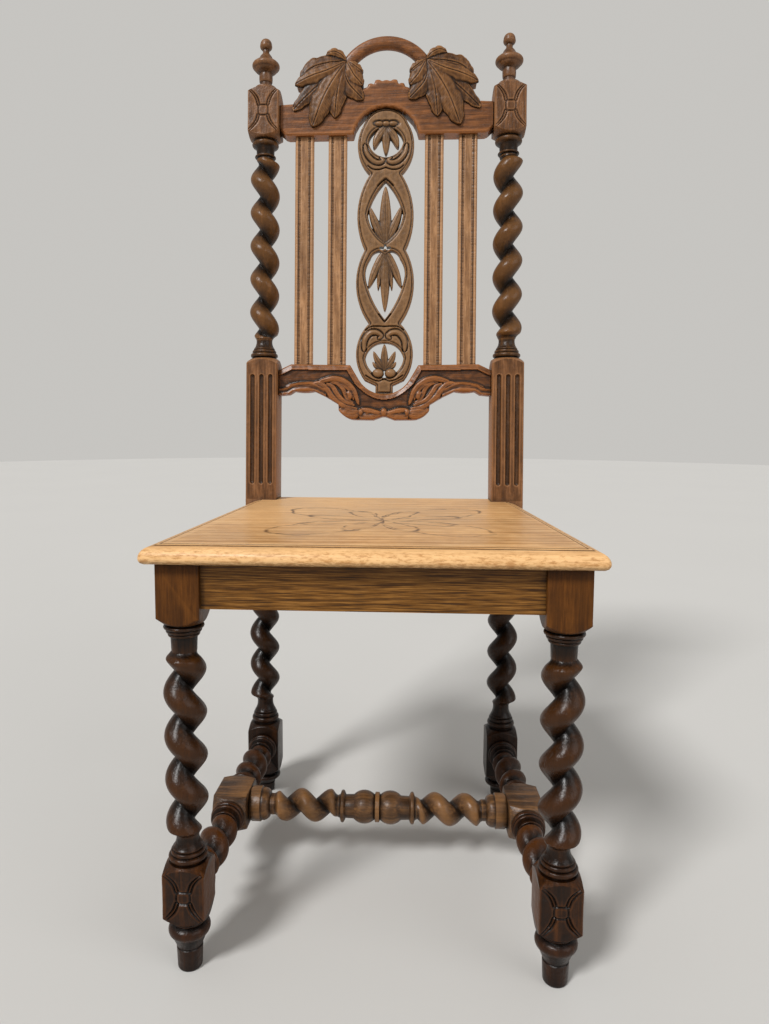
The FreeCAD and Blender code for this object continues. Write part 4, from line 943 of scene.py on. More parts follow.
def oak(name, light, mid, dark, painted_shade, grain="Z", figure=46, streak=330, patch=11, run=0.07, spread=0.20,
        figured=0.16, calm=0.35, blotch=0.7, stained=0.35, wear=0.5, gloss=0.42, coat=0.10, shine=0.3,
        bump=0.35, dents=1.0, painted_shade_reach=0.010, painted_shade_share=0.85, hollow_gain=3.0, ridge_start=0.06,
        ridge_gain=3.0, ridge_share=0.6, extra=None):
    """Old waxed oak: growth figure, fibre streaks, pores and patches, with painted shade in its hollows and a
    painted highlight on its ridges.

    Figure, streak and patch are the scales of the figure, the fibres and the patches. Run is the scale
    along the grain as a share of that across it, spread how far the tones reach, figured the share of
    the figure and calm how near all tones are to the middle one. Blotch, stained and wear are the
    strengths of the patches, the stains and the rubbed edges. The reach of the painted shade from
    ambient occlusion is in metres. The gains and shares say how soon and how strongly hollows darken
    with painted shade and ridges pale with wear and a painted highlight, by the depths noted on the mesh.
    """
    material, tree, place = blank_material(name)
    turned = mapped(tree, place, rotation=GRAIN_TURNS[grain])
    long = mapped(tree, turned, scale=(1, 1, run))
    bands = node(tree, "ShaderNodeTexWave", [(long, "Vector")], wave_type="BANDS", bands_direction="DIAGONAL",
                 scale=figure, distortion=7, detail=3, detail_scale=0.6, detail_roughness=0.6)
    fibre = noise(tree, long, scale=streak, detail=6, roughness=0.62)
    pores = noise(tree, mapped(tree, turned, scale=(1, 1, 0.03)), scale=streak * 2.4, detail=2, roughness=0.5)
    patches = noise(tree, place, scale=patch, detail=4, roughness=0.6)
    small_patches = noise(tree, place, scale=patch * 5, detail=3, roughness=0.6)

    tone = plus(tree, times(tree, bands.outputs["Fac"], figured), times(tree, fibre, 1 - figured))
    low, high = (tuple(calm * part + (1 - calm) * end for part, end in zip(mid, ends))
                 for ends in (dark, light))
    body = ramp(tree, tone, ((0.5 - spread, low), (0.50, mid), (0.5 + spread * 1.1, high)))
    pore_lines = ramp(tree, pores, ((0.33, 1.0), (0.40, 0.0)))
    body = mixed(tree, times(tree, pore_lines, 0.40), body, dark)
    body = mixed(tree, blotch, body, ramp(tree, patches, ((0.36, 0.72), (0.62, 1.16))), "MULTIPLY")
    stain = ramp(tree, small_patches, ((0.42, 0.0), (0.66, 1.0)))
    body = mixed(tree, times(tree, stain, stained), body, dark)
    if wear:
        pointed = node(tree, "ShaderNodeNewGeometry").outputs["Pointiness"]
        edges = ramp(tree, pointed, ((0.50, 0.0), (0.58, 1.0)))
        body = mixed(tree, times(tree, times(tree, edges, fibre), wear * 2, True), body, light)

    carved = node(tree, "ShaderNodeAttribute", attribute_name="hollow").outputs["Fac"]
    # Wear and a painted highlight: ridges, by their noted height, pale towards the light colour.
    ridge_wear_and_highlight = times(tree, plus(tree, carved, ridge_start), -ridge_gain, True)
    body = mixed(tree, times(tree, ridge_wear_and_highlight, ridge_share), body, light)
    # Painted shade: hollows by their noted depth, and recesses by ambient occlusion, darken towards the shade
    # colour.
    shaded = node(tree, "ShaderNodeAmbientOcclusion", samples=6, distance=painted_shade_reach).outputs["AO"]
    for depth in (times(tree, carved, hollow_gain, True), ramp(tree, shaded, ((0.35, 1.0), (0.92, 0.0)))):
        body = mixed(tree, times(tree, depth, painted_shade_share), body, painted_shade)
    if extra:
        body = extra(tree, place, body)

    rough = plus(tree, plus(tree, times(tree, patches, 0.28), times(tree, fibre, 0.16)), gloss - 0.22)
    grained = reckoned(tree, "SUBTRACT", fibre, times(tree, pore_lines, 0.9))
    fine = node(tree, "ShaderNodeBump", [(grained, "Height")], strength=bump, distance=0.0006)
    raised = node(tree, "ShaderNodeBump", [(small_patches, "Height"), (fine.outputs[0], "Normal")],
                  strength=0.5, distance=0.0022 * dents)
    shader = show(tree, [(body, "Base Color"), (rough, "Roughness"), (raised.outputs[0], "Normal")],
                  coat_weight=coat, coat_roughness=0.25)
    shader.inputs["Specular IOR Level"].default_value = shine
    return material


def painted_shade_below(tree, place, body):
    """The legs are darker than the back: painted shade, deepest towards the floor and the rear, over their
    own darker finish.
    """
    parts = node(tree, "ShaderNodeSeparateXYZ", [(place, "Vector")])
    low = ramp(tree, parts.outputs["Z"], (
        (0, (0.25, 0.17, 0.10)), (0.055, (0.35, 0.24, 0.15)), (0.07, (0.50, 0.36, 0.20)),
        (0.12, (0.50, 0.36, 0.20)), (0.15, (0.33, 0.25, 0.16)), (0.36, (0.35, 0.28, 0.18)),
        (0.45, (0.6, 0.5, 0.4)), (0.48, (1, 1, 1))))
    rear = ramp(tree, plus(tree, parts.outputs["Y"], 0.5), ((0.45, 1), (0.62, 0.55)))
    upper = ramp(tree, parts.outputs["Z"], ((0.44, 0), (0.48, 1)))
    lit = reckoned(tree, "MAXIMUM", rear, upper)
    return mixed(tree, 1.0, mixed(tree, 1.0, body, low, "MULTIPLY"), lit, "MULTIPLY")


def petal_line(tree, away, angle, petals, reach, power):
    """A line round petals that meet in the middle, equally thin where they run steeply outwards."""
    swing = reckoned(tree, "ABSOLUTE", reckoned(tree, "SINE", times(tree, angle, petals)))
    wave = times(tree, reckoned(tree, "POWER", swing, power), reach)
    off = reckoned(tree, "ABSOLUTE", reckoned(tree, "SUBTRACT", away, wave))
    steep = reckoned(tree, "DIVIDE", reach * petals * 0.8, reckoned(tree, "MAXIMUM", away, 0.004))
    slant = reckoned(tree, "SQRT", plus(tree, times(tree, steep, steep), 1.0))
    return reckoned(tree, "SUBTRACT", 1.0, times(tree, reckoned(tree, "DIVIDE", off, slant), 480), True)


def star(tree, place, body):
    """Thin wavy lines of a star, scratched in the middle of the seat."""
    waver = node(tree, "ShaderNodeTexNoise", [(place, "Vector")], scale=26, detail=3)
    shift = node(tree, "ShaderNodeVectorMath", [(waver.outputs["Color"], 0)], operation="MULTIPLY_ADD")
    shift.inputs[1].default_value = (0.022, 0.022, 0)
    shift.inputs[2].default_value = (-0.016, 0.042, 0)
    wavy = node(tree, "ShaderNodeVectorMath", [(place, 0), (shift.outputs[0], 1)], operation="ADD")
    parts = node(tree, "ShaderNodeSeparateXYZ", [(wavy.outputs[0], "Vector")])
    across, deep = parts.outputs["X"], times(tree, parts.outputs["Y"], 1.12)
    away = reckoned(tree, "SQRT", plus(tree, times(tree, across, across), times(tree, deep, deep)))
    angle = reckoned(tree, "ARCTAN2", deep, across)
    lines = reckoned(tree, "MAXIMUM", petal_line(tree, away, angle, 2, 0.165, 1.25),
                     petal_line(tree, away, angle, 4, 0.100, 0.9))
    broken = ramp(tree, noise(tree, place, scale=45), ((0.40, 0.25), (0.52, 1.0)))
    return mixed(tree, times(tree, lines, broken), body, bpy.context.scene.wainscot_colours.seat_line)


def seat_marks(tree, place, body):
    """The star, and pale and soiled spots on the seat's rounded edge."""
    colours = bpy.context.scene.wainscot_colours
    body = star(tree, place, body)
    height = node(tree, "ShaderNodeSeparateXYZ", [(place, "Vector")]).outputs["Z"]
    edge = ramp(tree, height, ((0.4630, 1.0), (0.4655, 0.0)))
    spots = noise(tree, mapped(tree, place, scale=(0.3, 1, 1)), scale=450, detail=5, roughness=0.7)
    for stops, spot in ((((0.49, 0.0), (0.57, 0.65)), colours.seat_light),
                        (((0.39, 0.6), (0.47, 0.0)), colours.seat_dark)):
        body = mixed(tree, times(tree, edge, ramp(tree, spots, stops)), body, spot)
    return body


GRAIN_TURNS = {"X": (0, QUARTER_TURN, 0), "Y": (QUARTER_TURN, 0, 0), "Z": (0, 0, 0)}
RAIL_OAK = dict(figure=90, streak=820, run=0.025, spread=0.11, figured=0.06, calm=0, blotch=0.3, stained=0.1,
                wear=0, coat=0.04, shine=0.2, painted_shade_reach=0.02, painted_shade_share=0.6)
RAW_OAK = dict(wear=0, gloss=0.7, coat=0, painted_shade_share=0.3)
# Each finish: the colours it has, the colour of its painted shade in hollows and recesses, and how it differs
# from plain waxed oak
FINISHES = {
    "waxed_turned_oak": ("twist", "twist_dark", dict(
        figure=26, streak=240, patch=14, calm=0.55, blotch=0.9, stained=0.55, wear=0.4, gloss=0.34, coat=0.14,
        shine=0.18, bump=0.6, dents=1.6, painted_shade_reach=0.016, painted_shade_share=0.9, hollow_gain=2.2, ridge_start=0.10,
        ridge_gain=1.5, ridge_share=0.4, extra=painted_shade_below)),
    "waxed_block_oak": ("block", "twist_dark", dict(
        figure=30, streak=420, patch=18, calm=0.4, blotch=0.6, gloss=0.40, coat=0.1, painted_shade_reach=0.012,
        painted_shade_share=0.8, hollow_gain=0.9, ridge_share=0.35)),
    "waxed_stretcher_oak": ("stretcher", "twist_dark", dict(
        grain="X", figure=26, streak=320, patch=22, calm=0.3, blotch=0.9, gloss=0.40, coat=0.1,
        painted_shade_reach=0.014, hollow_gain=1.6, ridge_start=0.2, ridge_gain=1.6, ridge_share=0.5)),
    "waxed_head_oak": ("head", "twist_dark", dict(
        figure=30, streak=420, patch=12, calm=0.4, blotch=0.8, gloss=0.40, coat=0.05, shine=0.15,
        painted_shade_reach=0.014, painted_shade_share=0.75, hollow_gain=2.5)),
    "waxed_rail_oak": ("rail", "twist_dark", dict(RAIL_OAK, grain="X")),
    "waxed_side_rail_oak": ("rail", "twist_dark", dict(RAIL_OAK, grain="Y")),
    "waxed_back_rail_oak": ("back", "twist_dark", dict(
        grain="X", figure=50, streak=520, calm=0.2, blotch=0.6, gloss=0.40, coat=0.2, ridge_start=0,
        ridge_gain=2.6, ridge_share=0.5)),
    "waxed_carved_oak": ("carving", "carving_dark", dict(
        figure=20, streak=420, calm=0.5, blotch=0.8, coat=0.05, shine=0.2, painted_shade_reach=0.009, hollow_gain=2.2,
        ridge_start=0, ridge_gain=2.2, ridge_share=0.55)),
    "waxed_golden_oak": ("splat", "carving_dark", dict(
        figure=20, streak=420, calm=0.55, coat=0.15, painted_shade_reach=0.008, painted_shade_share=0.92, hollow_gain=1.8,
        ridge_share=0.45)),
    "waxed_slat_oak": ("slat", "splat_dark", dict(
        figure=30, streak=420, calm=0.3, blotch=0.6, gloss=0.44, coat=0.12, painted_shade_reach=0.004, painted_shade_share=0.8,
        ridge_share=0.5)),
    "waxed_seat_oak": ("seat", "rail_dark", dict(
        grain="X", figure=34, streak=420, patch=9, run=0.035, spread=0.15, calm=0, blotch=0.6, gloss=0.36,
        coat=0.06, shine=0.2, dents=0.4, painted_shade_reach=0.003, painted_shade_share=0.8, ridge_start=0, extra=seat_marks)),
    "raw_wood_x": ("plain", "plain_dark", dict(RAW_OAK, grain="X")),
    "raw_wood_z": ("plain", "plain_dark", dict(RAW_OAK, grain="Z")),
}


def finish(name):
    """A finish of the table above, made when it is first asked for."""
    colours = bpy.context.scene.wainscot_colours
    tones, painted_shade, settings = FINISHES[name]
    light, mid, dark = (getattr(colours, f"{tones}_{tone}") for tone in ("light", "mid", "dark"))
    return bpy.data.materials.get(name) or oak(name, light, mid, dark, getattr(colours, painted_shade), **settings)


def steel_finish():
    """Dull, slightly rusted screw steel."""
    colours = bpy.context.scene.wainscot_colours
    material, tree, place = blank_material("dull_steel")
    spots = noise(tree, place, scale=420, detail=5, roughness=0.7)
    tone = ramp(tree, spots, ((0.42, colours.steel), (0.66, (0.16, 0.07, 0.03))))
    rough = ramp(tree, spots, ((0.3, 0.38), (0.7, 0.8)))
    raised = node(tree, "ShaderNodeBump", [(spots, "Height")], strength=0.3, distance=0.0002)
    show(tree, [(tone, "Base Color"), (rough, "Roughness"), (raised.outputs[0], "Normal")], metallic=0.85)
    return material


def dressed(piece, material, solid):
    """Finish a piece: its material, its place on the chair's one body and the solid it stands for."""
    coated(piece, material)
    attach(piece, "root")
    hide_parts(solid)


def dressed_both(right, material, stem):
    """Dress a turned piece of the right side, and its mirror twin on the left."""
    left = other_side(right, f"{stem}_left_turned")
    dressed(right, material, f"{stem}_right")
    dressed(left, material, f"{stem}_left")


def finish_node(name, material):
    """Give a CAD node that shows as it is a better material."""
    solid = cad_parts[name]
    if not solid.material_slots:
        solid.data.materials.append(material)
    for holder in solid.material_slots:
        holder.material = material


# Operators, one for each piece or group of like pieces

class StageOperator(bpy.types.Operator):
    """Set up the pale floor, the soft light and the camera"""
    bl_idname = "wainscot.stage"
    bl_label = "Stage"

    def execute(self, context):
        colours = context.scene.wainscot_colours
        deselect()
        bpy.ops.mesh.primitive_circle_add(vertices=96, radius=9, fill_type="NGON", location=(0, 0, 0))
        floor = context.object
        floor.name = "floor"
        floor.data.materials.append(self.floor_finish(colours))
        self.light(colours)
        self.camera(context)
        return {"FINISHED"}

    def floor_finish(self, colours):
        material, tree, place = blank_material("studio_floor")
        pale = tuple(colours.floor)
        cloudy = noise(tree, place, scale=1.6, detail=2)
        tone = ramp(tree, cloudy, ((0.3, tuple(part * 0.985 for part in pale)), (0.7, pale)))
        show(tree, [(tone, "Base Color")], roughness=0.9)
        return material

    def light(self, colours):
        world = bpy.data.worlds.new("studio")
        bpy.context.scene.world = world
        world.use_nodes = True
        tree = world.node_tree
        tree.nodes.clear()
        soft = node(tree, "ShaderNodeBackground", strength=SOFT_LIGHT)
        soft.inputs["Color"].default_value = (1.0, 0.99, 0.97, 1)
        behind = node(tree, "ShaderNodeBackground", strength=BACKDROP_LIGHT)
        behind.inputs["Color"].default_value = (*colours.floor, 1)
        seen = node(tree, "ShaderNodeLightPath").outputs["Is Camera Ray"]
        chosen = node(tree, "ShaderNodeMixShader", [(seen, 0), (soft.outputs[0], 1), (behind.outputs[0], 2)])
        node(tree, "ShaderNodeOutputWorld", [(chosen.outputs[0], "Surface")])
        for name, strength, softness, turn in LAMPS:
            deselect()
            bpy.ops.object.light_add(type="SUN", location=(0, 0, 3),
                                     rotation=[math.radians(part) for part in turn])
            lamp = named(bpy.context.object, f"{name}_light")
            lamp.data.energy = strength
            lamp.data.angle = math.radians(softness)

    def camera(self, context):
        deselect()
        bpy.ops.object.camera_add(location=CAMERA_PLACE)
        camera = context.object
        camera.name = "photo_view"
        level = math.cos(CAMERA_PITCH)
        forward = Vector((-math.sin(CAMERA_YAW) * level, math.cos(CAMERA_YAW) * level,
                          -math.sin(CAMERA_PITCH)))
        right = forward.cross(Vector((0, 0, 1))).normalized()
        turn = Matrix((right, right.cross(forward), -forward)).transposed()
        camera.rotation_euler = (Matrix.Rotation(CAMERA_ROLL, 3, forward) @ turn).to_euler()
        camera.data.lens = SENSOR_WIDTH * FOCAL_LENGTH / PHOTO_HEIGHT
        camera.data.sensor_width = SENSOR_WIDTH
        camera.data.sensor_fit = "AUTO"
        camera.data.shift_x = (PHOTO_WIDTH / 2 - AIM_ACROSS) / PHOTO_HEIGHT
        camera.data.shift_y = (AIM_DOWN - PHOTO_HEIGHT / 2) / PHOTO_HEIGHT
        camera.data.clip_start = 0.01
        context.scene.camera = camera
        context.scene.view_settings.view_transform = "Standard"


class FrontLegsOperator(bpy.types.Operator):
    """Turn, twist and carve the two front legs"""
    bl_idname = "wainscot.front_legs"
    bl_label = "Front legs"

    def execute(self, context):
        sizes = context.scene.wainscot_sizes
        ring, half = sizes.ring_radius, sizes.leg_block / 2
        seat_under = sizes.seat_height - sizes.seat_thickness
        head = seat_under - HEAD_HEIGHT
        cross = crossed(half, (LEG_FOOT + LEG_BLOCK_TOP) / 2, (LEG_BLOCK_TOP - LEG_FOOT) / 2)
        leg = joined(
            "front_leg_right_turned", finish("waxed_turned_oak"),
            squared("leg_block", half, LEG_FOOT, LEG_BLOCK_TOP, sizes, face=cross),
            turning("leg_foot", FOOT, FOOT_RADIUS, 0, LEG_FOOT),
            turning("leg_collar", FOOT_COLLAR, ring, LEG_BLOCK_TOP, COLLAR_HEIGHT),
            twisted("leg_twist", sizes.front_crest, sizes.front_valley, sizes.front_pitch,
                    LEG_BLOCK_TOP + COLLAR_HEIGHT, head - COLLAR_HEIGHT, LEG_CREST, sizes.neck_radius),
            turning("leg_head_collar", HEAD_COLLAR, ring, head - COLLAR_HEIGHT, COLLAR_HEIGHT, falling=True),
            coated(squared("leg_head", half, head, seat_under, sizes, upper=False), finish("waxed_head_oak")),
        )
        moved(leg, LEG_SIDE, FRONT_AXIS)
        dressed_both(smoothed(leg), finish("waxed_turned_oak"), "front_leg")
        return {"FINISHED"}


class RearPostsOperator(bpy.types.Operator):
    """Turn, twist and carve the two rear posts, from the floor to their caps"""
    bl_idname = "wainscot.rear_posts"
    bl_label = "Rear posts"

    def execute(self, context):
        sizes = context.scene.wainscot_sizes
        turned = finish("waxed_turned_oak")
        lower = self.lower_post(sizes, turned)
        for side, crest in (("right", HIGH_CREST), ("left", HIGH_CREST + sizes.post_pitch / 2)):
            upper = self.upper_post(sizes, turned, crest)
            post = smoothed(joined("post_whole", turned, upper, copied(lower, "post_lower_copy")))
            if side == "left":
                twin = post
                post = other_side(twin, "post_mirrored")
                bpy.data.objects.remove(twin)
            dressed(named(post, f"rear_post_{side}_turned"), turned, f"rear_post_{side}")
        bpy.data.objects.remove(lower)
        return {"FINISHED"}

    def lower_post(self, sizes, turned):
        """A post from the floor to the seat."""
        ring, half = sizes.ring_radius, sizes.post_block / 2
        stock_foot = sizes.seat_height - sizes.seat_thickness - HEAD_HEIGHT
        collar_foot = POST_FOOT + POST_BLOCK
        twist_top = stock_foot - COLLAR_HEIGHT
        lower = joined(
            "post_lower", turned,
            squared("post_block", half, POST_FOOT, collar_foot, sizes),
            turning("post_foot", FOOT, FOOT_RADIUS, 0, POST_FOOT),
            turning("post_collar", FOOT_COLLAR, ring, collar_foot, POST_COLLAR),
            twisted("post_twist", sizes.rear_crest, sizes.rear_valley, sizes.rear_pitch,
                    collar_foot + POST_COLLAR, twist_top, POST_CREST, sizes.neck_radius),
            turning("post_stock_collar", HEAD_COLLAR, ring, twist_top, COLLAR_HEIGHT, falling=True),
            coated(squared("post_stock", half, stock_foot, sizes.seat_height + BEND_OVERLAP, sizes,
                           upper=False), finish("waxed_block_oak")),
        )
        return moved(lower, sizes.post_side, FRONT_AXIS + sizes.leg_depth)

    def upper_post(self, sizes, turned, crest):
        """A post from the seat to its cap, on the rake."""
        ring, half = sizes.ring_radius, sizes.post_block / 2
        cross = crossed(half, (CAP_FOOT + CAP_TOP) / 2, (CAP_TOP - CAP_FOOT) / 2)
        cap = squared("post_cap", half, CAP_FOOT, CAP_TOP, sizes, face=cross)
        flutes = squared("post_fluted", half, -BEND_OVERLAP, FLUTED_TOP, sizes, lower=False, face=fluted)
        upper = joined(
            "post_upper", turned, coated(cap, finish("waxed_block_oak")),
            coated(flutes, finish("waxed_block_oak")),
            turning("post_high_collar", FOOT_COLLAR, ring, FLUTED_TOP, HIGH_TWIST_FOOT - FLUTED_TOP),
            twisted("post_high_twist", sizes.post_crest, sizes.post_valley, sizes.post_pitch,
                    HIGH_TWIST_FOOT, HIGH_TWIST_TOP, crest, sizes.neck_radius),
            turning("post_cap_collar", CAP_COLLAR, ring, HIGH_TWIST_TOP, CAP_FOOT - HIGH_TWIST_TOP,
                    falling=True),
        )
        return on_the_rake(upper, sizes, sizes.post_side)


class FinialsOperator(bpy.types.Operator):
    """Turn the two finials"""
    bl_idname = "wainscot.finials"
    bl_label = "Finials"

    def execute(self, context):
        sizes = context.scene.wainscot_sizes
        finial = turning("finial_right_turned", FINIAL, sizes.finial_radius, CAP_TOP, sizes.finial_height)
        on_the_rake(finial, sizes, sizes.post_side)
        dressed_both(smoothed(finial), finish("waxed_block_oak"), "finial")
        return {"FINISHED"}


class StretchersOperator(bpy.types.Operator):
    """Turn and twist the two side stretchers and the one between them"""
    bl_idname = "wainscot.stretchers"
    bl_label = "Stretchers"

    def execute(self, context):
        sizes = context.scene.wainscot_sizes
        turned = finish("waxed_turned_oak")
        half_leg, half = sizes.leg_block / 2, sizes.stretcher_block / 2
        front = FRONT_AXIS + half_leg
        run = FRONT_AXIS + sizes.leg_depth - sizes.post_block / 2 - front
        turn = math.atan((LEG_SIDE - sizes.post_side) / run)
        end = run / math.cos(turn)
        middle = (CROSS_PLACE - half_leg) / math.cos(turn)
        foot, top = middle - HALF_BLOCK_LENGTH, middle + HALF_BLOCK_LENGTH
        side = joined(
            "side_stretcher_right_turned", turned,
            coated(squared("stretcher_block", half, foot, top, sizes), finish("waxed_stretcher_oak")),
            turning("stretcher_front_collar", STRETCHER_COLLAR, half, 0, END_COLLAR),
            self.strand("stretcher_front_twist", sizes, END_COLLAR, foot - END_COLLAR, END_COLLAR * 2),
            turning("stretcher_block_collar", STRETCHER_COLLAR, half, foot - END_COLLAR, END_COLLAR, True),
            turning("stretcher_far_collar", STRETCHER_COLLAR, half, top, END_COLLAR),
            self.strand("stretcher_rear_twist", sizes, top + END_COLLAR, end - END_COLLAR,
                        end - END_COLLAR * 2),
            turning("stretcher_rear_collar", STRETCHER_COLLAR, half, end - END_COLLAR, END_COLLAR, True),
        )
        moved(side, turn=(-QUARTER_TURN, 0, 0))
        moved(side, LEG_SIDE, front, sizes.stretcher_height, (0, 0, turn))
        dressed_both(smoothed(side), turned, "side_stretcher")

        reach = LEG_SIDE - middle * math.sin(turn) - half
        arms = []
        for name, way in (("right", 1), ("left", -1)):
            arm = joined(
                f"cross_{name}", finish("waxed_stretcher_oak"),
                turning("cross_centre", CROSS_CENTRE, half, 0, CROSS_MIDDLE),
                self.strand("cross_twist", sizes, CROSS_MIDDLE, reach - CROSS_END, CROSS_CREST),
                turning("cross_collar", CROSS_COLLAR, half, reach - CROSS_END, CROSS_END, falling=True),
            )
            arms.append(moved(arm, back=FRONT_AXIS + CROSS_PLACE, up=sizes.stretcher_height,
                              turn=(0, way * QUARTER_TURN, 0)))
        cross = smoothed(joined("cross_stretcher_turned", finish("waxed_stretcher_oak"), *arms))
        dressed(cross, finish("waxed_stretcher_oak"), "cross_stretcher")
        return {"FINISHED"}

    def strand(self, name, sizes, foot, top, crest):
        return twisted(name, sizes.stretcher_crest, sizes.stretcher_valley, sizes.stretcher_pitch, foot, top,
                       crest, sizes.neck_radius, STRETCHER_RUN_OUT)


class SeatOperator(bpy.types.Operator):
    """Mould the seat board"""
    bl_idname = "wainscot.seat"
    bl_label = "Seat"

    def execute(self, context):
        sizes = context.scene.wainscot_sizes
        low = sizes.seat_height - sizes.seat_thickness
        rings = [self.ring(offset * MM) for offset, height, tone in SEAT_SECTION]
        levels = [low + height * MM for offset, height, tone in SEAT_SECTION]
        seat = closed(drawn_line("seat_moulded", [(x, y, low) for x, y in rings[0] + rings[0][:1]]))
        with editing(seat):
            bpy.ops.mesh.edge_face_add()
        for before, ring, level in zip(rings, rings[1:], levels[1:]):
            with editing(seat, whole=False):
                bpy.ops.mesh.extrude_region_move(TRANSFORM_OT_translate={"value": (0, 0, 5 * MM)})
            points = places(seat)
            for vertex in seat.data.vertices:
                if vertex.select:
                    place = points[vertex.index, :2]
                    nearest = min(range(len(before)), key=lambda corner: math.dist(before[corner], place))
                    points[vertex.index] = (*ring[nearest], level)
            put(seat, points)
        smoothed(closed(seat, 0.001 * MM), 50)
        # The section's tones go on the hollow attribute: painted shade in the quirks and under the nose, wear
        # and a painted highlight on the rounded nose.
        corners = np.array([(*corner, level) for ring, level in zip(rings, levels) for corner in ring])
        tones = np.repeat([tone for offset, height, tone in SEAT_SECTION], len(rings[0]))
        nearest = np.linalg.norm(places(seat)[:, None] - corners[None], axis=2).argmin(axis=1)
        hollows(seat).data.foreach_set("value", tones[nearest].astype(np.float32))
        dressed(seat, finish("waxed_seat_oak"), "seat")
        return {"FINISHED"}

    def ring(self, offset):
        """The seat's corners anticlockwise, the moulded edges moved in by the offset."""
        front, side, back = SEAT_LOW.y, SEAT_HIGH.x, SEAT_HIGH.y
        notch = back - SEAT_NOTCH
        slant = (side - SEAT_REAR) / (notch - front)
        reach = offset * math.sqrt(1 + slant * slant)
        corner = side - slant * offset - reach
        rounding = max(0.0002, SEAT_CORNER - offset)
        right = [(corner - rounding, front + offset),
                 (corner - rounding * 0.3, front + offset + rounding * 0.3),
                 (corner, front + offset + rounding), (SEAT_REAR - reach, notch), (SEAT_INNER, notch),
                 (SEAT_INNER, back)]
        return right + [(-x, y) for x, y in reversed(right)]


class BackRailsOperator(bpy.types.Operator):
    """Cut and carve the crest rail and the lower rail of the back"""
    bl_idname = "wainscot.back_rails"
    bl_label = "Back rails"

    def execute(self, context):
        sizes = context.scene.wainscot_sizes
        half = sizes.back_board / 2
        material = finish("waxed_back_rail_oak")
        crest_edge = outline_of(both_halves(CREST_EDGE, CREST_ARCH))
        lower_edge = outline_of(both_halves(LOWER_EDGE))

        def crest_inset(x, z):
            return inside(crest_edge, x, z)

        def lower_inset(x, z):
            return inside(lower_edge, x, z)

        crest = cut_board("crest_rail_cut", crest_inset, CREST_FIELD, -half, half, 1.6 * MM)
        carve(crest, -half, lambda x, z: round_over(crest_inset(x, z), 1.8 * MM))
        on_the_rake(crest, sizes)
        dressed(smoothed(crest), material, "crest_rail")

        lower = cut_board("lower_back_rail_cut", lower_inset, LOWER_FIELD, -half, half,
                          sizes.carving_cell * 1.1)
        # Painted shade in the carving's hollows and a painted highlight on its raised parts.
        carve(lower, -half, lambda x, z: self.carving(x, z, lower_inset(x, z)), painted_depth_shading=0.08, level=2.0 * MM)
        on_the_rake(lower, sizes)
        dressed(smoothed(lower, 50), material, "lower_back_rail")
        return {"FINISHED"}

    def carving(self, x, z, inset):
        """The bevelled top edge, the sunk field, the band that turns into a scroll and the garland."""
        side = np.abs(x)
        end = LOWER_TOP[0][0]
        dip = [(step * 4, LOWER_DIP + LOWER_DIP_RISE * (step * 4 / end) ** 2) for step in range(10)]
        from_top = np.abs(along(in_metres(dip + list(LOWER_TOP)), side, z)[1])
        from_foot = np.abs(along(in_metres(LOWER_FOOT), side, z)[1])
        field = 3.6 * MM
        bevel = np.where(from_top < 8.5 * MM, field - 3.0 * MM * (1 - from_top / (8.5 * MM)), 0)
        bevel -= groove(from_top - 9.2 * MM, 1.0 * MM, 1.0 * MM)
        swell = np.sin(math.pi * np.clip(from_foot / (9.5 * MM), 0, 1)) ** 2
        band = np.where((from_foot < 9.5 * MM) & (side > 88 * MM), 3.0 * MM - 1.4 * MM * swell, 0)
        lobes = relief(RAIL_STROKES, side, z, blunt=0.35, foot=0.25, vein=0.8, vein_depth=0.7)[0]
        height = np.maximum(np.maximum(bevel, band), lobes)
        for across, up, radius in RAIL_KNOTS:
            away = np.hypot(side - across * MM, (z - up * MM) * 0.75)
            height = np.maximum(height, 4.4 * MM * dome(away / (radius * MM)))
        return field - height + tooled(x, z, 18, 0.14) + round_over(inset, 1.5 * MM) * 0.8


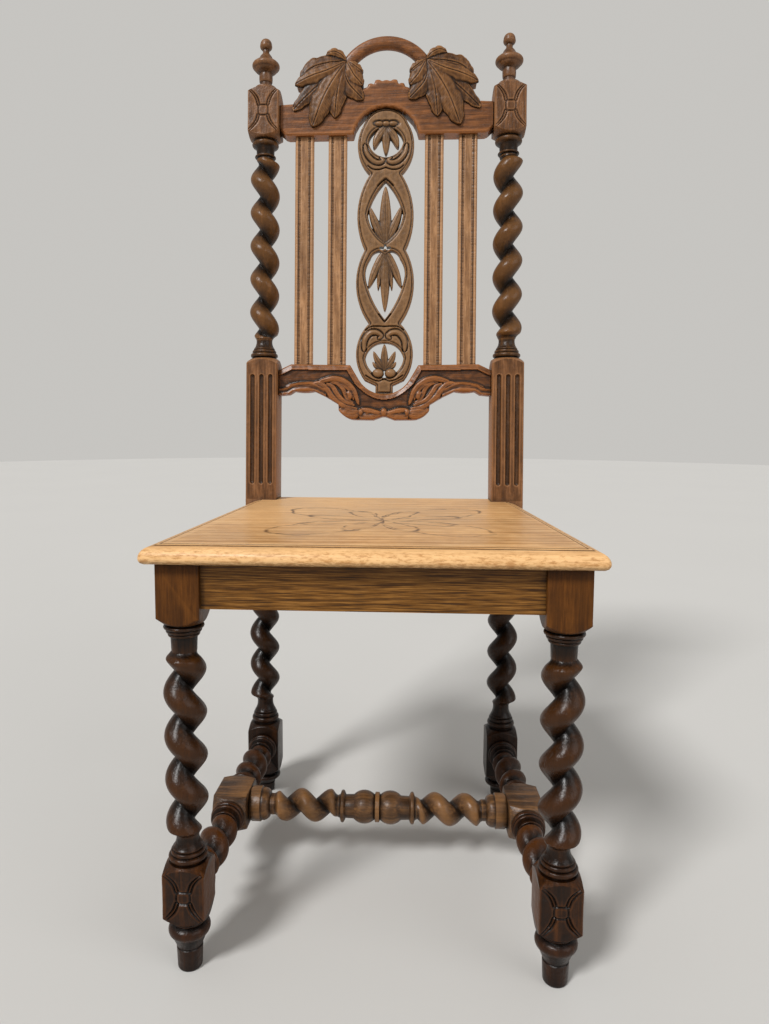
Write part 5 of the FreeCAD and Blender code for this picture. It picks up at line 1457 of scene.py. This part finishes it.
class SplatOperator(bpy.types.Operator):
    """Cut and carve the pierced splat and the four moulded slats"""
    bl_idname = "wainscot.splat"
    bl_label = "Splat and slats"

    def execute(self, context):
        sizes = context.scene.wainscot_sizes
        half = sizes.splat_thickness / 2
        edge = outline_of(both_halves(SPLAT_EDGE))
        openings = [outline_of(both_halves(corners)) for corners in SPLAT_OPENINGS]

        def straps(x, z):
            return np.minimum.reduce([inside(edge, x, z)] + [-inside(opening, x, z) for opening in openings])

        def leaves(x, z):
            return relief(SPLAT_LEAVES, np.abs(x), z, blunt=0.6, foot=0.25, vein=0.9, vein_depth=1.0)

        def solid(x, z):
            reach = np.maximum(np.maximum(straps(x, z), leaves(x, z)[1]), self.bosses(x, z)[1])
            slots = [lobe(in_metres(points), 4.6 * MM, np.abs(x), z, blunt=0.35, foot=0.2)[0]
                     for points in SPLAT_PIERCED]
            return np.minimum(reach, -np.maximum.reduce(slots))

        def carving(x, z):
            inset = straps(x, z)
            strap = 5.2 * MM * dome(1 - np.clip(inset / (6.0 * MM), 0, 1))
            strap -= groove(inset - 3.2 * MM, 1.7 * MM, 1.7 * MM)
            boss, reach = self.bosses(x, z)
            strap = np.where(inset > 0, strap, 0) - groove(reach, 2.0 * MM, 2.2 * MM)
            height = np.maximum(strap, np.maximum(leaves(x, z)[0] * 0.8, boss))
            for points in SPLAT_GROOVES:
                off = along(curved(in_metres(points)), np.abs(x), z)[1]
                height -= groove(off, 1.6 * MM, 2.6 * MM)
            return 6.2 * MM - height + tooled(x, z, 14, 0.12)

        board = cut_board("splat_carved", solid, SPLAT_FIELD, -half, half, sizes.carving_cell)
        # Painted shade in the splat's hollows and a painted highlight on its raised straps.
        carve(board, -half, carving, painted_depth_shading=0.11, level=3.0 * MM)
        on_the_rake(board, sizes)
        dressed(smoothed(board, 50), finish("waxed_golden_oak"), "splat")
        for name, across in SLAT_PLACES.items():
            self.slat(name, across * MM, sizes)
        return {"FINISHED"}

    def bosses(self, x, z):
        """The height of the volutes and balls, and how far inside them each point is."""
        height, reach = relief(SPLAT_SCROLLS, np.abs(x), z, blunt=0.3, foot=0.3, vein_depth=0)
        for across, up, wide, high in SPLAT_BOSSES:
            away = np.hypot((np.abs(x) - across * MM) / (wide * MM), (z - up * MM) / (high * MM))
            height = np.maximum(height, 6.6 * MM * dome(away))
            reach = np.maximum(reach, (1 - away) * high * MM)
        return height, reach

    def slat(self, name, across, sizes):
        """A slat with two beads along each edge, nicked by wear, and a plain middle."""
        half, deep = sizes.slat_width / 2, sizes.slat_thickness / 2

        def carving(x, z):
            off = half - np.abs(x)
            bead = ridge(off - 2.9 * MM, 2.5 * MM, 2.4 * MM) + ridge(off - 7.2 * MM, 1.5 * MM, 1.3 * MM)
            plain = np.where(off > 8.9 * MM, 1.6 * MM, 0)
            worn_away = 0.5 + 0.5 * np.sin(z * 1150 + 3 * np.sin(z * 260 + across * 90) + np.sign(x) * 1.3)
            nicks = ease(worn_away, 0.7, 1) * 0.6 * MM * (bead > 0.4 * MM)
            from_end = np.minimum(z - SLAT_LOW, SLAT_HIGH - z)
            near_end = np.clip((28 * MM - from_end) / (28 * MM), 0, 1)
            return 2.6 * MM - np.maximum(bead, plain) + nicks * (0.45 + 0.55 * near_end)

        board = cut_board(f"slat_{name}_moulded", upright(half, SLAT_LOW, SLAT_HIGH),
                          ((-half, SLAT_LOW), (half, SLAT_HIGH)), -deep, deep, sizes.carving_cell * 1.15)
        carve(board, -deep, carving)
        on_the_rake(board, sizes, across)
        dressed(smoothed(board, 50), finish("waxed_slat_oak"), f"slat_{name}")


class CrestingOperator(bpy.types.Operator):
    """Carve the cresting: a hoop with a vine leaf at each end"""
    bl_idname = "wainscot.cresting"
    bl_label = "Cresting"

    def execute(self, context):
        sizes = context.scene.wainscot_sizes
        carved = finish("waxed_carved_oak")
        face = -sizes.back_board / 2
        front, split = face - 8 * MM, face - 0.12 * MM
        crest = outline_of(both_halves(CREST_EDGE, CREST_ARCH))

        def leaf_inset(x, z):
            hub = LEAF_HUB_RADIUS - np.hypot(x - LEAF_HUB[0], z - LEAF_HUB[1])
            return np.maximum(self.lobes(x, z)[1], hub)

        def above_rail(x, z):
            return np.minimum(leaf_inset(x, z) - 2.5 * MM, -inside(crest, x, z) - 0.2 * MM)

        leaf = cut_board("leaf_front", leaf_inset, LEAF_FIELD, front, split, sizes.carving_cell * 0.9)
        # Painted shade in the leaf's hollows and a painted highlight on its raised lobes.
        carve(leaf, front, lambda x, z: self.veined(x, z, np.maximum(leaf_inset(x, z), 0)), painted_depth_shading=0.10,
              level=2.6 * MM)
        behind = cut_board("leaf_back", above_rail, LEAF_BACK_FIELD, split, 8 * MM, sizes.carving_cell * 1.6)
        right = joined("leaf_right", carved, leaf, behind)
        left = other_side(right, "leaf_left")
        hoop = coated(self.hoop(), finish("waxed_back_rail_oak"))
        cresting = joined("cresting_carved", carved, hoop, right, left)
        on_the_rake(cresting, sizes)
        dressed(smoothed(cresting, 50), carved, "cresting")
        return {"FINISHED"}

    def lobes(self, x, z):
        return relief(LEAF_LOBES, x, z, blunt=0.70, foot=0.80, vein=1.1, vein_depth=1.3, teeth=0.09)

    def veined(self, x, z, inset):
        """Nine lobes that spread from the stalk, each domed about its vein, the lower ones hatched."""
        rim = ridge(inset - 1.4 * MM, 1.6 * MM, 0.45 * MM)
        cuts = hatching(x, z, math.radians(25), 2.1, 0.45) * ease(-z, -0.618, -0.606)
        height = self.lobes(x, z)[0]
        return 7.4 * MM - height - rim + cuts + tooled(x, z, 16, 0.16) + round_over(inset, 1.6 * MM) * 0.7

    def hoop(self):
        """The round hoop, with a slight ridge and a hollow along the top of its front."""
        start = math.radians(HOOP_START)
        section = []
        for step in range(24):
            angle = FULL_TURN * step / 24
            crest, dip = (max(0, math.cos(angle - place)) for place in (0.75, 1.35))
            swell = 1 + 0.10 * crest ** 8 - 0.10 * dip ** 10
            out, deep = (HOOP_THICKNESS * swell * part for part in (math.cos(angle), math.sin(angle)))
            reach = HOOP_RADIUS + out
            section.append((reach * math.cos(start), HOOP_BACK - deep, HOOP_CENTRE + reach * math.sin(start)))
        line = closed(drawn_line("cresting_hoop", section + section[:1]))
        with editing(line):
            bpy.ops.mesh.spin(steps=120, angle=math.pi - 2 * start, center=(0, 0, HOOP_CENTRE),
                              axis=(0, 1, 0))
        return closed(line)


class PlainPiecesOperator(bpy.types.Operator):
    """Finish the pieces whose plain solids are right: rails, braces, screws and dowels"""
    bl_idname = "wainscot.plain_pieces"
    bl_label = "Rails, braces, screws and dowels"

    def execute(self, context):
        for name in ("front_rail", "rear_rail"):
            finish_node(name, finish("waxed_rail_oak"))
        for name in ("side_rail_left", "side_rail_right"):
            finish_node(name, finish("waxed_side_rail_oak"))
        for end in ("front", "rear"):
            for side in ("left", "right"):
                finish_node(f"corner_brace_{end}_{side}", finish("raw_wood_x"))
        finish_node("cresting_dowels", finish("raw_wood_z"))
        finish_node("seat_screws", steel_finish())
        return {"FINISHED"}


CLASSES = (ChairSizes, ChairColours, StageOperator, FrontLegsOperator, RearPostsOperator, FinialsOperator,
           StretchersOperator, SeatOperator, BackRailsOperator, SplatOperator, CrestingOperator,
           PlainPiecesOperator)


class ChairPanel(bpy.types.Panel):
    """The chair's pieces, sizes and colours"""
    bl_idname = "VIEW3D_PT_wainscot_chair"
    bl_label = "Wainscot chair"
    bl_space_type = "VIEW_3D"
    bl_region_type = "UI"
    bl_category = "Wainscot chair"

    def draw(self, context):
        for item in CLASSES:
            if issubclass(item, bpy.types.Operator):
                self.layout.operator(item.bl_idname)
        for group in (context.scene.wainscot_sizes, context.scene.wainscot_colours):
            box = self.layout.box()
            for name in group.__annotations__:
                box.prop(group, name)


def register():
    for item in CLASSES + (ChairPanel,):
        bpy.utils.register_class(item)
    bpy.types.Scene.wainscot_sizes = bpy.props.PointerProperty(type=ChairSizes)
    bpy.types.Scene.wainscot_colours = bpy.props.PointerProperty(type=ChairColours)


def unregister():
    del bpy.types.Scene.wainscot_sizes
    del bpy.types.Scene.wainscot_colours
    for item in reversed(CLASSES + (ChairPanel,)):
        bpy.utils.unregister_class(item)


def main():
    register()
    bpy.ops.wainscot.stage()
    bpy.ops.wainscot.front_legs()
    bpy.ops.wainscot.rear_posts()
    bpy.ops.wainscot.finials()
    bpy.ops.wainscot.stretchers()
    bpy.ops.wainscot.seat()
    bpy.ops.wainscot.back_rails()
    bpy.ops.wainscot.splat()
    bpy.ops.wainscot.cresting()
    bpy.ops.wainscot.plain_pieces()


if __name__ == "__main__":
    main()
